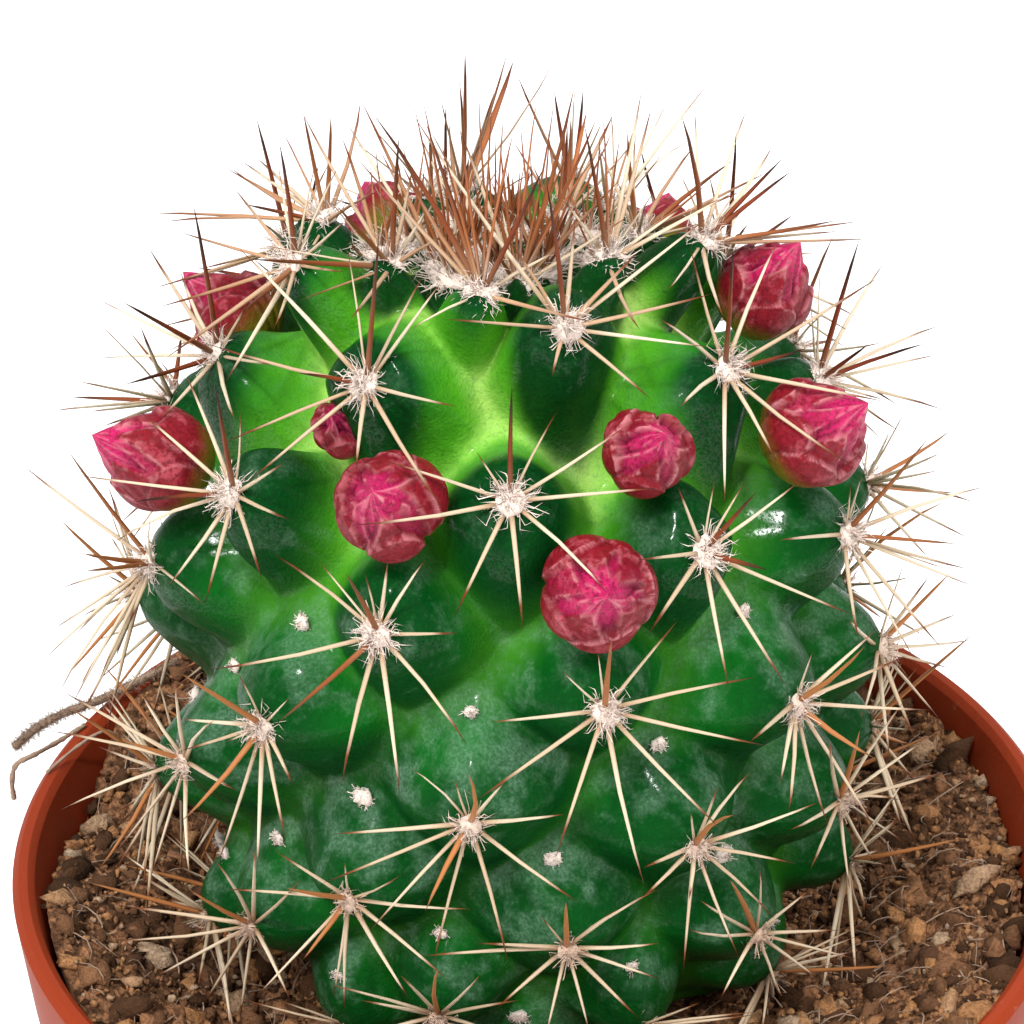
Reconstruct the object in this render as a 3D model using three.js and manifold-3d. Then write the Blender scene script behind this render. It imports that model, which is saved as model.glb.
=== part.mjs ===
// A round cactus in flower bud, growing in a plastic nursery pot.
// Millimetres, +Z up. The origin is the middle of the pot's base, which stands on z = 0.
import * as THREE from 'three';
import { mergeVertices } from 'three/addons/utils/BufferGeometryUtils.js';
import Module from 'manifold-3d';

const wasm = await Module();
wasm.setup();

const degrees = THREE.MathUtils.degToRad;
const { clamp, inverseLerp, lerp } = THREE.MathUtils;

// ---- Driving dimensions ------------------------------------------------------------------

// Pot: a round pot, 8.5 cm across its rim, with six drainage holes.
const POT_RIM_RADIUS = 42.5;
const POT_HEIGHT = 75;
const POT_BASE_RADIUS = 30;
const POT_WALL = 1.3;
const POT_FLOOR = 2;
const POT_EDGE = 0.6;
const RIM_LIP_WIDTH = 1.8;
const RIM_BAND_HEIGHT = 9;
const RIM_BAND_STEP = 1.6;
const RIM_FLARE = 0.8;
const DRAIN_HOLES = 6;
const DRAIN_RADIUS = 2.6;
const DRAIN_CIRCLE = 18;
const FIRST_DRAIN_HOLE = degrees(15);
const DRAIN_SIDES = 16;
const POT_SIDES = 48;

// Pieces that touch keep this much air between their solids.
const GAP = 0.3;

// Soil: fills the pot to a little below the rim, with a plain hole for the stem's neck.
const SOIL_BELOW_RIM = 8.6;
const SOIL_BUMP = 0.35;
const SOIL_LUMP_LENGTH = 12;
const SOIL_RINGS = 5;
const NECK_RADIUS = 16;
const NECK_TAPER = 3;
const NECK_DEPTH = 14;
const NECK_SIDES = 20;
const NECK_INTO_BODY = 4;
const BODY_ABOVE_SOIL = 1;

// Stem: tubercles sit on one spiral, each a fixed turn after the last. They are counted from
// 0, near the front, down to older ones and up, by negative numbers, to the growing tip.
const FIRST_ANGLE = degrees(-88.3);
const SPIRAL_TURN = degrees(137.497);
const TOP_INDEX = -34;
const BOTTOM_INDEX = 56;
// The line through the tubercle tips: index, radius from the stem's axis, height above the rim.
const TIP_LINE = [
  [-36, 0.6, 51.0], [-28, 7.0, 52.3], [-21, 9.7, 52.8], [-16, 12.2, 54.3], [-11, 15.8, 54.3],
  [-5, 18.9, 48.5], [3, 24.8, 41.2], [12, 28.2, 32.2], [22, 29.1, 21.3], [33, 28.8, 10.9],
  [44, 27.5, 1.9], [56, 23.0, -6.2],
];
// How far a tubercle stands out of the body: index, height.
const TUBERCLE_HEIGHT = [
  [-36, 0.8], [-28, 1.6], [-21, 3.0], [-11, 5.6], [0, 7.8], [12, 7.6], [25, 6.8], [44, 6.0],
  [56, 4.0],
];
// From the first of these indices to the second, the tubercles turn to point straight up.
const TURNS_UPRIGHT = [-14, -28];
// The stem's axis leaves the soil here, leans a little, and bends back near the crown.
const AXIS_AT_SOIL = [-1.2, 0.95];
const AXIS_LEAN = [-0.029, -0.019];
const AXIS_BEND = [0.001, 0.005];
const BEND_STARTS = 33;
const ROOT_BELOW_RIM = 5;

// Tubercle form: base width against spacing, roundness of the tip, softness of the valleys.
const TUBERCLE_REACH = 0.64;
const TIP_ROUNDNESS = 0.16;
const VALLEY_SHARPNESS = 14;
const FLOOR_SOFTNESS = 0.1;
const KEEL = 0.22;
const SMALLEST_BASE_AREA = 4;
// Mesh steps between one tubercle tip and the next along the spiral's two families of rows.
const STEPS_PER_TUBERCLE = 4;
const ROW_A = 5;
const ROW_B = 8;

// Spines: three-sided needles, thick at the root, which is sunk into the tubercle. A lift is
// an angle out of the tubercle's side directions; a spine that would touch something gets more.
const SPINE_RADIUS = 0.42;
const SPINE_ROOT = 1.2;
const SPINE_CLEARANCE = 0.55;
const SIDE_SPINES = 4;
const SIDE_LENGTH = 9;
const LOWER_SIDE_LONGER_BY = 3.5;
const SIDE_LIFT = degrees(17);
const CENTRAL_LENGTH = 11;
const CENTRAL_LIFT = degrees(42);
const CENTRAL_SWING = degrees(60);
const CROWN_SPINES = 3;
const CROWN_ENDS = -13;
const CROWN_LIFT = degrees(68);
const LIFT_SPREAD = degrees(8);
const LIFT_STEP = degrees(9);
const LIFT_STEPS = 8;
const LENGTH_SPREAD = 0.2;
// The youngest spines have this share of their length, and from the second index they have all.
const YOUNGEST_SHARE = 0.6;
const SPINES_GROW = [-36, -12];
const SEED = 11;

// Buds: the tubercle above which each grows, its shift round the stem, up it and out of it from
// the middle of the valley there, its lean round and up in degrees, its width and its length.
const BUDS = [
  { above: 8, across: 2.5, up: 0.3, out: 0.4, lean: [4, -7], width: 7.9, length: 8.6 },
  { above: 13, across: 2.9, up: 0.6, out: 0.4, lean: [-6, 0], width: 8.2, length: 8.8 },
  { above: 5, across: -0.2, up: -0.9, out: 0.6, lean: [-6, -8], width: 6.5, length: 7.6 },
  { above: 10, across: 0.5, up: 1.6, out: 1.6, lean: [-4, 6], width: 8.1, length: 9.6 },
  { above: 2, across: 0.7, up: 1.2, out: 1.6, lean: [-21, 23], width: 7.2, length: 9.4 },
  { above: 11, across: 4.0, up: 0.8, out: 1.8, lean: [8, 4], width: 8.0, length: 10.4 },
  { above: 6, across: -0.4, up: 0.6, out: -0.5, lean: [0, -3], width: 7.4, length: 9.2 },
  { above: 3, across: 6.5, up: -0.5, out: -3.0, lean: [14, 1], width: 4.6, length: 5.2 },
  { above: 1, across: -2.7, up: 1.4, out: -0.6, lean: [-5, -5], width: 6.6, length: 8.4 },
  { above: -1, across: 0.4, up: -1.5, out: -1.2, lean: [26, 1], width: 6.0, length: 7.6 },
  { above: 4, across: 0, up: 0, out: -2.4, lean: [0, 0], width: 6.2, length: 6.8 },
  { above: 9, across: 1.0, up: 0, out: -1.0, lean: [0, 0], width: 7.6, length: 8.6 },
  { above: 12, across: 1.0, up: 0, out: -1.6, lean: [0, 0], width: 7.0, length: 7.8 },
];
const BUD_PETALS = 5;
const BUD_SIDES = 15;
const BUD_ROWS = 7;
// Shares of a bud's length: where it is widest, and where the inner layer of petals shows.
const BUD_BELLY = 0.42;
const INNER_PETALS = 0.55;
// Roundness of the bud below and above its belly: two powers each.
const BASE_ROUND = [2.2, 0.62];
const TOP_ROUND = [1.8, 0.8];
const PETAL_OVERLAP = 0.09;
const PETAL_WINDING = 0.35;
// A spine keeps clear of a ball round each bud, this share of the bud's length in radius.
const BUD_BALL = 0.56;

const rimLevel = POT_HEIGHT;
const soilLevel = POT_HEIGHT - SOIL_BELOW_RIM;

// ---- Small tools --------------------------------------------------------------------------

/** Repeatable random numbers between 0 and 1. */
function seededRandom(seed) {
  let state = seed;
  return () => {
    state = (state + 0x6d2b79f5) | 0;
    let t = Math.imul(state ^ (state >>> 15), 1 | state);
    t = (t + Math.imul(t ^ (t >>> 7), 61 | t)) ^ t;
    return ((t ^ (t >>> 14)) >>> 0) / 4294967296;
  };
}

/** The row of a table, sorted by its first column, after which x comes. */
function rowBefore(table, x) {
  const next = table.findIndex((row) => x < row[0]);
  const last = table.length - 2;
  return next < 0 ? last : clamp(next - 1, 0, last);
}

/** A smooth curve through a column of a table whose first column is the index. */
function smooth(table, column, x) {
  const i = rowBefore(table, x);
  const last = table.length - 1;
  const span = (n) => table[n + 1][0] - table[n][0];
  const rate = (n) => (table[n + 1][column] - table[n][column]) / span(n);
  const slope = (n) => {
    if (n === 0) return rate(0);
    if (n === last) return rate(last - 1);
    return (rate(n - 1) * span(n) + rate(n) * span(n - 1)) / (span(n - 1) + span(n));
  };
  const h = span(i);
  const t = (x - table[i][0]) / h;
  const a = (1 + 2 * t) * (1 - t) ** 2 * table[i][column] + t * (1 - t) ** 2 * h * slope(i);
  return a + t * t * (3 - 2 * t) * table[i + 1][column] + t * t * (t - 1) * h * slope(i + 1);
}

/** Straight lines between the rows of a table of index and value. */
function linear(table, x) {
  const i = rowBefore(table, x);
  const [x0, y0] = table[i];
  const [x1, y1] = table[i + 1];
  return lerp(y0, y1, clamp(inverseLerp(x0, x1, x), 0, 1));
}

/** A closed geometry as a solid that can be joined and cut. */
function solidOf(geometry) {
  geometry.deleteAttribute('normal');
  geometry.deleteAttribute('uv');
  const merged = mergeVertices(geometry, 1e-4);
  return new wasm.Manifold(new wasm.Mesh({
    numProp: 3,
    vertProperties: new Float32Array(merged.attributes.position.array),
    triVerts: new Uint32Array(merged.index.array),
  }));
}

/** A solid back as a geometry with its shared vertices. */
function geometryOf(solid) {
  const mesh = solid.getMesh();
  const geometry = new THREE.BufferGeometry();
  geometry.setAttribute('position', new THREE.BufferAttribute(mesh.vertProperties, 3));
  geometry.setIndex(new THREE.BufferAttribute(mesh.triVerts, 1));
  geometry.computeVertexNormals();
  return geometry;
}

/** A geometry from a list of points and a list of corner numbers. */
function meshOf(points, corners) {
  const geometry = new THREE.BufferGeometry();
  const flat = points.flatMap((p) => [p.x, p.y, p.z]);
  geometry.setAttribute('position', new THREE.Float32BufferAttribute(flat, 3));
  geometry.setIndex(corners);
  return geometry;
}

/** Only the largest body of a solid: cut-off scraps are dropped. */
function largestBody(solid) {
  const bodies = solid.decompose();
  return bodies.reduce((best, body) => (body.volume() > best.volume() ? body : best));
}

/** A profile of [radius, height] points turned round the Z axis. */
function turned(profile, sides) {
  const points = profile.map(([radius, height]) => new THREE.Vector2(radius, height));
  return new THREE.LatheGeometry(points, sides).rotateX(Math.PI / 2);
}

function material(color, roughness) {
  return new THREE.MeshStandardMaterial({ color, roughness, metalness: 0 });
}

// ---- Pot ----------------------------------------------------------------------------------

const bandBottom = POT_HEIGHT - RIM_BAND_HEIGHT;
const bandRadius = POT_RIM_RADIUS - RIM_FLARE;
const shoulderRadius = bandRadius - RIM_BAND_STEP;
const innerRim = POT_RIM_RADIUS - RIM_LIP_WIDTH;
const innerShoulder = shoulderRadius - POT_WALL;
const innerFloor = POT_BASE_RADIUS - POT_WALL;

/** The pot's inner radius at a height: one straight wall below the band, another above. */
function innerRadius(height) {
  if (height > bandBottom) {
    return lerp(innerShoulder, innerRim, inverseLerp(bandBottom, POT_HEIGHT, height));
  }
  return lerp(innerFloor, innerShoulder, inverseLerp(POT_FLOOR, bandBottom, height));
}

function makePot() {
  let pot = solidOf(turned([
    [0, 0], [POT_BASE_RADIUS - POT_EDGE, 0], [POT_BASE_RADIUS, POT_EDGE],
    [shoulderRadius, bandBottom - RIM_BAND_STEP / 2], [bandRadius, bandBottom],
    [POT_RIM_RADIUS, POT_HEIGHT - POT_EDGE], [POT_RIM_RADIUS - POT_EDGE, POT_HEIGHT],
    [innerRim + POT_EDGE, POT_HEIGHT], [innerRim, POT_HEIGHT - POT_EDGE],
    [innerShoulder, bandBottom], [innerFloor, POT_FLOOR], [0, POT_FLOOR],
  ], POT_SIDES));
  for (let hole = 0; hole < DRAIN_HOLES; hole += 1) {
    const angle = (2 * Math.PI * hole) / DRAIN_HOLES + FIRST_DRAIN_HOLE;
    const drill = new THREE.CylinderGeometry(DRAIN_RADIUS, DRAIN_RADIUS, 4 * POT_FLOOR, DRAIN_SIDES);
    drill.rotateX(Math.PI / 2);
    drill.translate(DRAIN_CIRCLE * Math.cos(angle), DRAIN_CIRCLE * Math.sin(angle), 0);
    pot = pot.subtract(solidOf(drill));
  }
  return geometryOf(pot);
}

// ---- Soil ---------------------------------------------------------------------------------

/** Height of the soil's lumpy surface at a point. */
function soilHeight(x, y) {
  const phase = (2 * Math.PI) / SOIL_LUMP_LENGTH;
  return soilLevel + SOIL_BUMP * Math.sin(phase * x + 1) * Math.cos(phase * y);
}

function makeSoil() {
  const bottom = POT_FLOOR + GAP;
  const hole = NECK_RADIUS + GAP;
  const edge = innerRadius(soilLevel) - 2 * GAP;
  const holeFloor = soilLevel - NECK_DEPTH - 1;
  const surface = Array.from({ length: SOIL_RINGS }, (_, ring) => [
    lerp(edge, hole, ring / (SOIL_RINGS - 1)), soilLevel,
  ]);
  const geometry = turned([
    [0, bottom], [innerFloor - 2 * GAP, bottom],
    [innerRadius(bandBottom - 1) - 2 * GAP, bandBottom - 1], ...surface,
    [hole, holeFloor], [0, holeFloor],
  ], POT_SIDES);
  const { position } = geometry.attributes;
  for (let i = 0; i < position.count; i += 1) {
    const [x, y, z] = [position.getX(i), position.getY(i), position.getZ(i)];
    // The lathe turns round the soil's own middle, but its hole is round the stem's axis.
    const share = clamp(inverseLerp(edge, hole, Math.hypot(x, y)), 0, 1);
    const inHole = z > holeFloor - 1 && Math.hypot(x, y) < edge - 1 ? share : 0;
    const [px, py] = [x + inHole * AXIS_AT_SOIL[0], y + inHole * AXIS_AT_SOIL[1]];
    const top = Math.abs(z - soilLevel) < 1e-3;
    position.setXYZ(i, px, py, top ? soilHeight(px, py) : z);
  }
  return geometryOf(solidOf(geometry));
}

// ---- Stem body ----------------------------------------------------------------------------

/** Radius, height, outward direction and tubercle height where the tip line has an index. */
function outline(index) {
  const step = 0.1;
  const at = (k, column) => smooth(TIP_LINE, column, k);
  const dr = at(index + step, 1) - at(index - step, 1);
  const dz = at(index + step, 2) - at(index - step, 2);
  const upright = clamp(inverseLerp(...TURNS_UPRIGHT, index), 0, 1);
  const length = Math.hypot(dr, dz);
  const out = new THREE.Vector2(-dz / length, dr / length).multiplyScalar(1 - upright);
  out.y += upright;
  out.normalize();
  return { radius: at(index, 1), height: at(index, 2), out, rise: linear(TUBERCLE_HEIGHT, index) };
}

/** A point of the straight, upright plant, moved onto its leaning and bending axis. */
function ontoAxis(radius, angle, height) {
  const above = Math.max(0, height - BEND_STARTS);
  const climb = height + ROOT_BELOW_RIM;
  const slope = AXIS_LEAN.map((lean, i) => lean + 2 * AXIS_BEND[i] * above);
  const [x, y] = [radius * Math.cos(angle), radius * Math.sin(angle)];
  const along = (i) => AXIS_AT_SOIL[i] + AXIS_LEAN[i] * climb + AXIS_BEND[i] * above * above;
  return new THREE.Vector3(
    along(0) + x * Math.cos(slope[0]),
    along(1) + y * Math.cos(slope[1]),
    rimLevel + height - x * Math.sin(slope[0]) - y * Math.sin(slope[1]),
  );
}

/** A point at a lift above the body's core, before the axis leans. */
function straightPoint(index, angle, lift) {
  const { radius, height, out, rise } = outline(index);
  const r = Math.max(0.05, radius + (lift - rise) * out.x);
  return { r, z: height + (lift - rise) * out.y, angle };
}

const asVector = ({ r, z, angle }) => new THREE.Vector3(r * Math.cos(angle), r * Math.sin(angle), z);
const spiralAngle = (index) => FIRST_ANGLE - SPIRAL_TURN * index;

/** A tubercle: where its base's middle is, how wide it reaches, and its own directions. */
function tubercleAt(index) {
  const angle = spiralAngle(index);
  const here = straightPoint(index, angle, 0);
  const before = straightPoint(index - 0.5, angle, 0);
  const after = straightPoint(index + 0.5, angle, 0);
  const rowHeight = Math.hypot(after.r - before.r, after.z - before.z);
  const area = Math.max(SMALLEST_BASE_AREA, 2 * Math.PI * here.r * rowHeight);
  const { out } = outline(index);
  const outward = new THREE.Vector3(out.x * Math.cos(angle), out.x * Math.sin(angle), out.y);
  const side = new THREE.Vector3(-Math.sin(angle), Math.cos(angle), 0);
  return {
    index,
    angle,
    base: asVector(here),
    reach: TUBERCLE_REACH * Math.sqrt((2 / Math.sqrt(3)) * area),
    outward,
    side,
    upward: new THREE.Vector3().crossVectors(outward, side),
  };
}

const tubercles = [];
for (let index = TOP_INDEX; index <= BOTTOM_INDEX; index += 1) tubercles.push(tubercleAt(index));

/** Share of the full tubercle height at a point of the core: 1 at a tip, 0 in an axil. */
function tubercleField(point) {
  let sum = 0;
  for (const { base, reach, side, upward } of tubercles) {
    const offset = point.clone().sub(base);
    const keel = Math.min(Math.abs(offset.dot(side)), Math.abs(offset.dot(upward)));
    const distance = (offset.length() + KEEL * keel) / reach;
    const cone = 1 - (Math.hypot(distance, TIP_ROUNDNESS) - TIP_ROUNDNESS);
    sum += Math.exp(VALLEY_SHARPNESS * Math.max(-1, cone));
  }
  const field = Math.log(sum) / VALLEY_SHARPNESS;
  return 0.5 * (field + Math.hypot(field, FLOOR_SOFTNESS));
}

/** A point of the stem's skin. */
function skinPoint(index, angle) {
  const core = straightPoint(index, angle, 0);
  const { rise } = outline(index);
  const { r, z } = straightPoint(index, angle, rise * tubercleField(asVector(core)));
  return ontoAxis(r, angle, z);
}

/** The turn between a tubercle and the next one in its row, the short way round. */
function rowTurn(row) {
  const turn = -row * SPIRAL_TURN;
  return turn - 2 * Math.PI * Math.round(turn / (2 * Math.PI));
}

/**
 * The body is meshed along the plant's own rows, so that every tubercle tip is a vertex.
 * Steps along row A and row B make a lattice that closes after ROW_B steps of A and -ROW_A of B.
 */
function makeBody() {
  const steps = STEPS_PER_TUBERCLE;
  const around = ROW_B * steps;
  const points = [];
  const numbers = new Map();
  const levels = [];
  const level = (a, b) => (ROW_A * a + ROW_B * b) / steps;
  const vertex = (a, b) => {
    const wraps = Math.floor(a / around);
    const [i, j] = [a - wraps * around, b + wraps * ROW_A * steps];
    const key = `${i},${j}`;
    if (!numbers.has(key)) {
      const angle = FIRST_ANGLE + (i * rowTurn(ROW_A) + j * rowTurn(ROW_B)) / steps;
      numbers.set(key, points.length);
      points.push(skinPoint(level(i, j), angle));
      levels.push(level(i, j));
    }
    return numbers.get(key);
  };
  const corners = [];
  const edges = new Set();
  const triangle = (...abc) => {
    corners.push(...abc);
    abc.forEach((from, n) => edges.add(`${from},${abc[(n + 1) % 3]}`));
  };
  for (let a = 0; a < around; a += 1) {
    const lowest = Math.ceil((TOP_INDEX * steps - ROW_A * a) / ROW_B);
    for (let b = lowest; level(a + 1, b + 1) <= BOTTOM_INDEX; b += 1) {
      const [p, q, r, s] = [vertex(a, b), vertex(a + 1, b), vertex(a + 1, b + 1), vertex(a, b + 1)];
      triangle(p, r, q);
      triangle(p, s, r);
    }
  }
  // Both ends close on a point of the axis.
  const middle = (TOP_INDEX + BOTTOM_INDEX) / 2;
  const top = points.push(skinPoint(TOP_INDEX - 1, 0)) - 1;
  const bottom = points.push(ontoAxis(0, 0, soilLevel + BODY_ABOVE_SOIL - rimLevel)) - 1;
  for (const edge of edges) {
    const [from, to] = edge.split(',').map(Number);
    if (!edges.has(`${to},${from}`)) {
      corners.push(to, from, levels[from] < middle ? top : bottom);
    }
  }
  return solidOf(meshOf(points, corners));
}

/** The neck stands in the soil's hole. */
function makeNeck() {
  const top = soilLevel + NECK_INTO_BODY;
  const bottom = soilLevel - NECK_DEPTH;
  const foot = NECK_RADIUS - NECK_TAPER;
  const neck = new THREE.CylinderGeometry(NECK_RADIUS, foot, top - bottom, NECK_SIDES);
  neck.rotateX(Math.PI / 2);
  neck.translate(AXIS_AT_SOIL[0], AXIS_AT_SOIL[1], (top + bottom) / 2);
  return solidOf(neck);
}

// ---- Buds ---------------------------------------------------------------------------------

/** Where a bud's middle is, and the way it points. */
function budPlace({ above, across, up, out, lean }) {
  const valley = (ROW_A + ROW_B) / 2;
  const { radius, height, out: away } = outline(above - valley);
  const middleAngle = spiralAngle(above) - rowTurn(ROW_A + ROW_B) / 2 + across / radius;
  const at = (lift, climb, turn = 0) => ontoAxis(
    radius + lift * away.x - climb * away.y, middleAngle + turn, height + lift * away.y + climb * away.x,
  );
  const middle = at(out, up);
  const outward = at(out + 1, up).sub(middle).normalize();
  const upward = at(out, up + 1).sub(middle).normalize();
  const sideways = at(out, up, 0.01).sub(middle).normalize();
  const axis = outward
    .addScaledVector(sideways, Math.tan(degrees(lean[0])))
    .addScaledVector(upward, Math.tan(degrees(lean[1])));
  return { middle, axis: axis.normalize() };
}

/** Half the bud's width at a share of its length: a round base and a pointed top. */
function budHalfWidth(share, width) {
  const below = share < BUD_BELLY;
  const away = below ? inverseLerp(BUD_BELLY, 0, share) : inverseLerp(BUD_BELLY, 1, share);
  const [inner, outer] = below ? BASE_ROUND : TOP_ROUND;
  return (width / 2) * (1 - away ** inner) ** outer;
}

/**
 * A closed bud: petals in two layers, wound over each other, so that the outline steps out
 * round the bud to each petal's free edge. Swelling it makes the hollow that it stands in.
 */
function makeBud(bud, swell) {
  const { middle, axis } = budPlace(bud);
  const frame = new THREE.Quaternion().setFromUnitVectors(new THREE.Vector3(0, 0, 1), axis);
  const place = (x, y, z) => new THREE.Vector3(x, y, z).applyQuaternion(frame).add(middle);
  const points = [place(0, 0, -BUD_BELLY * bud.length - swell)];
  for (let row = 1; row < BUD_ROWS; row += 1) {
    const share = row / BUD_ROWS;
    const layer = share > INNER_PETALS ? 0.5 : 0;
    for (let side = 0; side < BUD_SIDES; side += 1) {
      const turn = side / BUD_SIDES;
      const winding = BUD_PETALS * turn + layer + PETAL_WINDING * share;
      const step = winding - Math.floor(winding) - 0.5;
      const relief = swell > 0 ? 1 + PETAL_OVERLAP / 2 : 1 + PETAL_OVERLAP * step;
      const r = budHalfWidth(share, bud.width) * relief + swell;
      const angle = 2 * Math.PI * turn;
      const z = (share - BUD_BELLY) * bud.length + swell * (2 * share - 1);
      points.push(place(r * Math.cos(angle), r * Math.sin(angle), z));
    }
  }
  points.push(place(0, 0, (1 - BUD_BELLY) * bud.length + swell));
  const corners = [];
  const number = (row, side) => 1 + (row - 1) * BUD_SIDES + (side % BUD_SIDES);
  for (let side = 0; side < BUD_SIDES; side += 1) {
    corners.push(0, number(1, side + 1), number(1, side));
    for (let row = 1; row < BUD_ROWS - 1; row += 1) {
      const [p, q] = [number(row, side), number(row, side + 1)];
      const [s, t] = [number(row + 1, side), number(row + 1, side + 1)];
      corners.push(p, q, t, p, t, s);
    }
    corners.push(number(BUD_ROWS - 1, side), number(BUD_ROWS - 1, side + 1), points.length - 1);
  }
  return solidOf(meshOf(points, corners));
}

// ---- Spines -------------------------------------------------------------------------------

const budBalls = BUDS.map((bud) => ({
  centre: budPlace(bud).middle,
  radius: BUD_BALL * bud.length + SPINE_CLEARANCE,
}));

/** True where a spine would touch a bud, the soil or the pot, or reach past the pot's rim. */
function blocked(root, tip) {
  const samples = 12;
  for (let i = 2; i <= samples; i += 1) {
    const point = root.clone().lerp(tip, i / samples);
    const radius = Math.hypot(point.x, point.y);
    const inPot = point.z < rimLevel + SPINE_CLEARANCE;
    const wall = innerRadius(Math.min(point.z, rimLevel)) - SPINE_CLEARANCE;
    if (point.z < soilLevel + SOIL_BUMP + SPINE_CLEARANCE) return true;
    if (radius > (inPot ? wall : POT_RIM_RADIUS - 1)) return true;
    if (budBalls.some((ball) => point.distanceTo(ball.centre) < ball.radius)) return true;
  }
  return false;
}

/** A three-sided needle from a root inside the tubercle to its tip. */
function makeSpine(root, tip) {
  const along = tip.clone().sub(root).normalize();
  const across = new THREE.Vector3(0.31, 0.53, 0.79).cross(along).normalize();
  const third = new THREE.Vector3().crossVectors(along, across);
  const corner = (n) => root.clone()
    .addScaledVector(across, SPINE_RADIUS * Math.cos((2 * Math.PI * n) / 3))
    .addScaledVector(third, SPINE_RADIUS * Math.sin((2 * Math.PI * n) / 3));
  return solidOf(meshOf([corner(0), corner(1), corner(2), tip], [0, 2, 1, 0, 1, 3, 1, 2, 3, 2, 0, 3]));
}

/** The spines of one tubercle, spread round its tip; one stands out from the middle. */
function spinesOf({ index, angle, outward, side, upward }, random) {
  const { radius, height } = outline(index);
  const tip = ontoAxis(radius, angle, height);
  const inCrown = index < CROWN_ENDS;
  const grown = clamp(inverseLerp(...SPINES_GROW, index), YOUNGEST_SHARE, 1);
  const root = tip.clone().addScaledVector(outward, -SPINE_ROOT);
  const count = inCrown ? CROWN_SPINES : SIDE_SPINES + 1;
  const start = random();
  const solids = [];
  for (let n = 0; n < count; n += 1) {
    const central = n === 0;
    const clock = central
      ? CENTRAL_SWING * (random() - 0.5)
      : (2 * Math.PI * (n + 0.6 * start + 0.2 * random())) / (count - 1);
    const lower = 0.5 - 0.5 * Math.cos(clock);
    const full = central ? CENTRAL_LENGTH : SIDE_LENGTH + LOWER_SIDE_LONGER_BY * lower;
    const length = full * grown * (1 + LENGTH_SPREAD * (random() - 0.5));
    let lift = (central ? CENTRAL_LIFT : SIDE_LIFT) + LIFT_SPREAD * random();
    if (inCrown) lift = CROWN_LIFT + LIFT_SPREAD * random();
    const end = () => tip.clone()
      .addScaledVector(outward, length * Math.sin(lift))
      .addScaledVector(upward, length * Math.cos(lift) * Math.cos(clock))
      .addScaledVector(side, length * Math.cos(lift) * Math.sin(clock));
    for (let step = 0; step < LIFT_STEPS && blocked(tip, end()); step += 1) lift += LIFT_STEP;
    if (!blocked(tip, end())) solids.push(makeSpine(root, end()));
  }
  return solids;
}

function makeStem() {
  const random = seededRandom(SEED);
  const spines = tubercles.flatMap((tubercle) => spinesOf(tubercle, random));
  const grown = wasm.Manifold.union([makeBody(), makeNeck(), ...spines]);
  const hollows = wasm.Manifold.union(BUDS.map((bud) => makeBud(bud, GAP)));
  return geometryOf(largestBody(grown.subtract(hollows)));
}

// ---- The assembled plant ------------------------------------------------------------------

const terracotta = material('#b4462a', 0.5);
const earth = material('#5b4030', 0.95);
const greenSkin = material('#2f6b35', 0.45);
const budPink = material('#b03a55', 0.5);

const pottedCactus = new THREE.Group();

function addPiece(name, geometry, finish) {
  const mesh = new THREE.Mesh(geometry, finish);
  mesh.name = name;
  pottedCactus.add(mesh);
}

addPiece('pot', makePot(), terracotta);
addPiece('soil', makeSoil(), earth);
addPiece('cactus_stem', makeStem(), greenSkin);
BUDS.forEach((bud, n) => {
  addPiece(`bud_${String(n + 1).padStart(2, '0')}`, geometryOf(makeBud(bud, 0)), budPink);
});

export default pottedCactus;
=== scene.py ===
"""A potted round cactus in flower bud, modelled piece by piece round its solid frame.

Millimetres are used for the plant's own sums and metres for every mesh, unless a comment says
otherwise. +Z is up and the origin is the middle of the pot's base. The photograph's camera looks
along +Y and down.
"""
import math

import bpy
import numpy as np
from bpy.props import FloatProperty, FloatVectorProperty, IntProperty, PointerProperty
from mathutils import Matrix, Vector, noise


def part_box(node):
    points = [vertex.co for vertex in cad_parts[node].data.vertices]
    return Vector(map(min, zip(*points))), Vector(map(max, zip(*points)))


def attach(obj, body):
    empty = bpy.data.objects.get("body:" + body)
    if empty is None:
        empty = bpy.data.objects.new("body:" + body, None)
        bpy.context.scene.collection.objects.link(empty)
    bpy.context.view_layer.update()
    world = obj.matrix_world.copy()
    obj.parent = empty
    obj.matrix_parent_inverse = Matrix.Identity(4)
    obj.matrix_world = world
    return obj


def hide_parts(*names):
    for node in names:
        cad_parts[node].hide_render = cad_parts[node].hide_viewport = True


bl_info = {
    "name": "Potted round cactus",
    "version": (1, 0, 0),
    "blender": (4, 5, 0),
    "location": "View3D > Sidebar > Cactus",
    "description": "Models a potted round cactus in flower bud, piece by piece",
    "category": "Add Mesh",
}

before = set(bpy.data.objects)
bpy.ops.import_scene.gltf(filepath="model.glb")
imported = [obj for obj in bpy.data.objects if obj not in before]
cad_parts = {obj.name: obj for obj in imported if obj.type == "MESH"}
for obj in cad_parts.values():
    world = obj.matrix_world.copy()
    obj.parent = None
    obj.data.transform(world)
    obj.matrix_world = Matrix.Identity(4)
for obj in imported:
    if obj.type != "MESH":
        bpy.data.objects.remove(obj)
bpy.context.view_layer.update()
POT_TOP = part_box("pot")[1]

MM = 0.001
RIM_LEVEL = POT_TOP.z / MM
TURN = 2 * math.pi

# ---- The plant's plan: the same lines and formulas as its solids, in millimetres ------------

FIRST_ANGLE = math.radians(-88.3)
SPIRAL_TURN = math.radians(137.497)
TOP_INDEX = -34
BOTTOM_INDEX = 56
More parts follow.
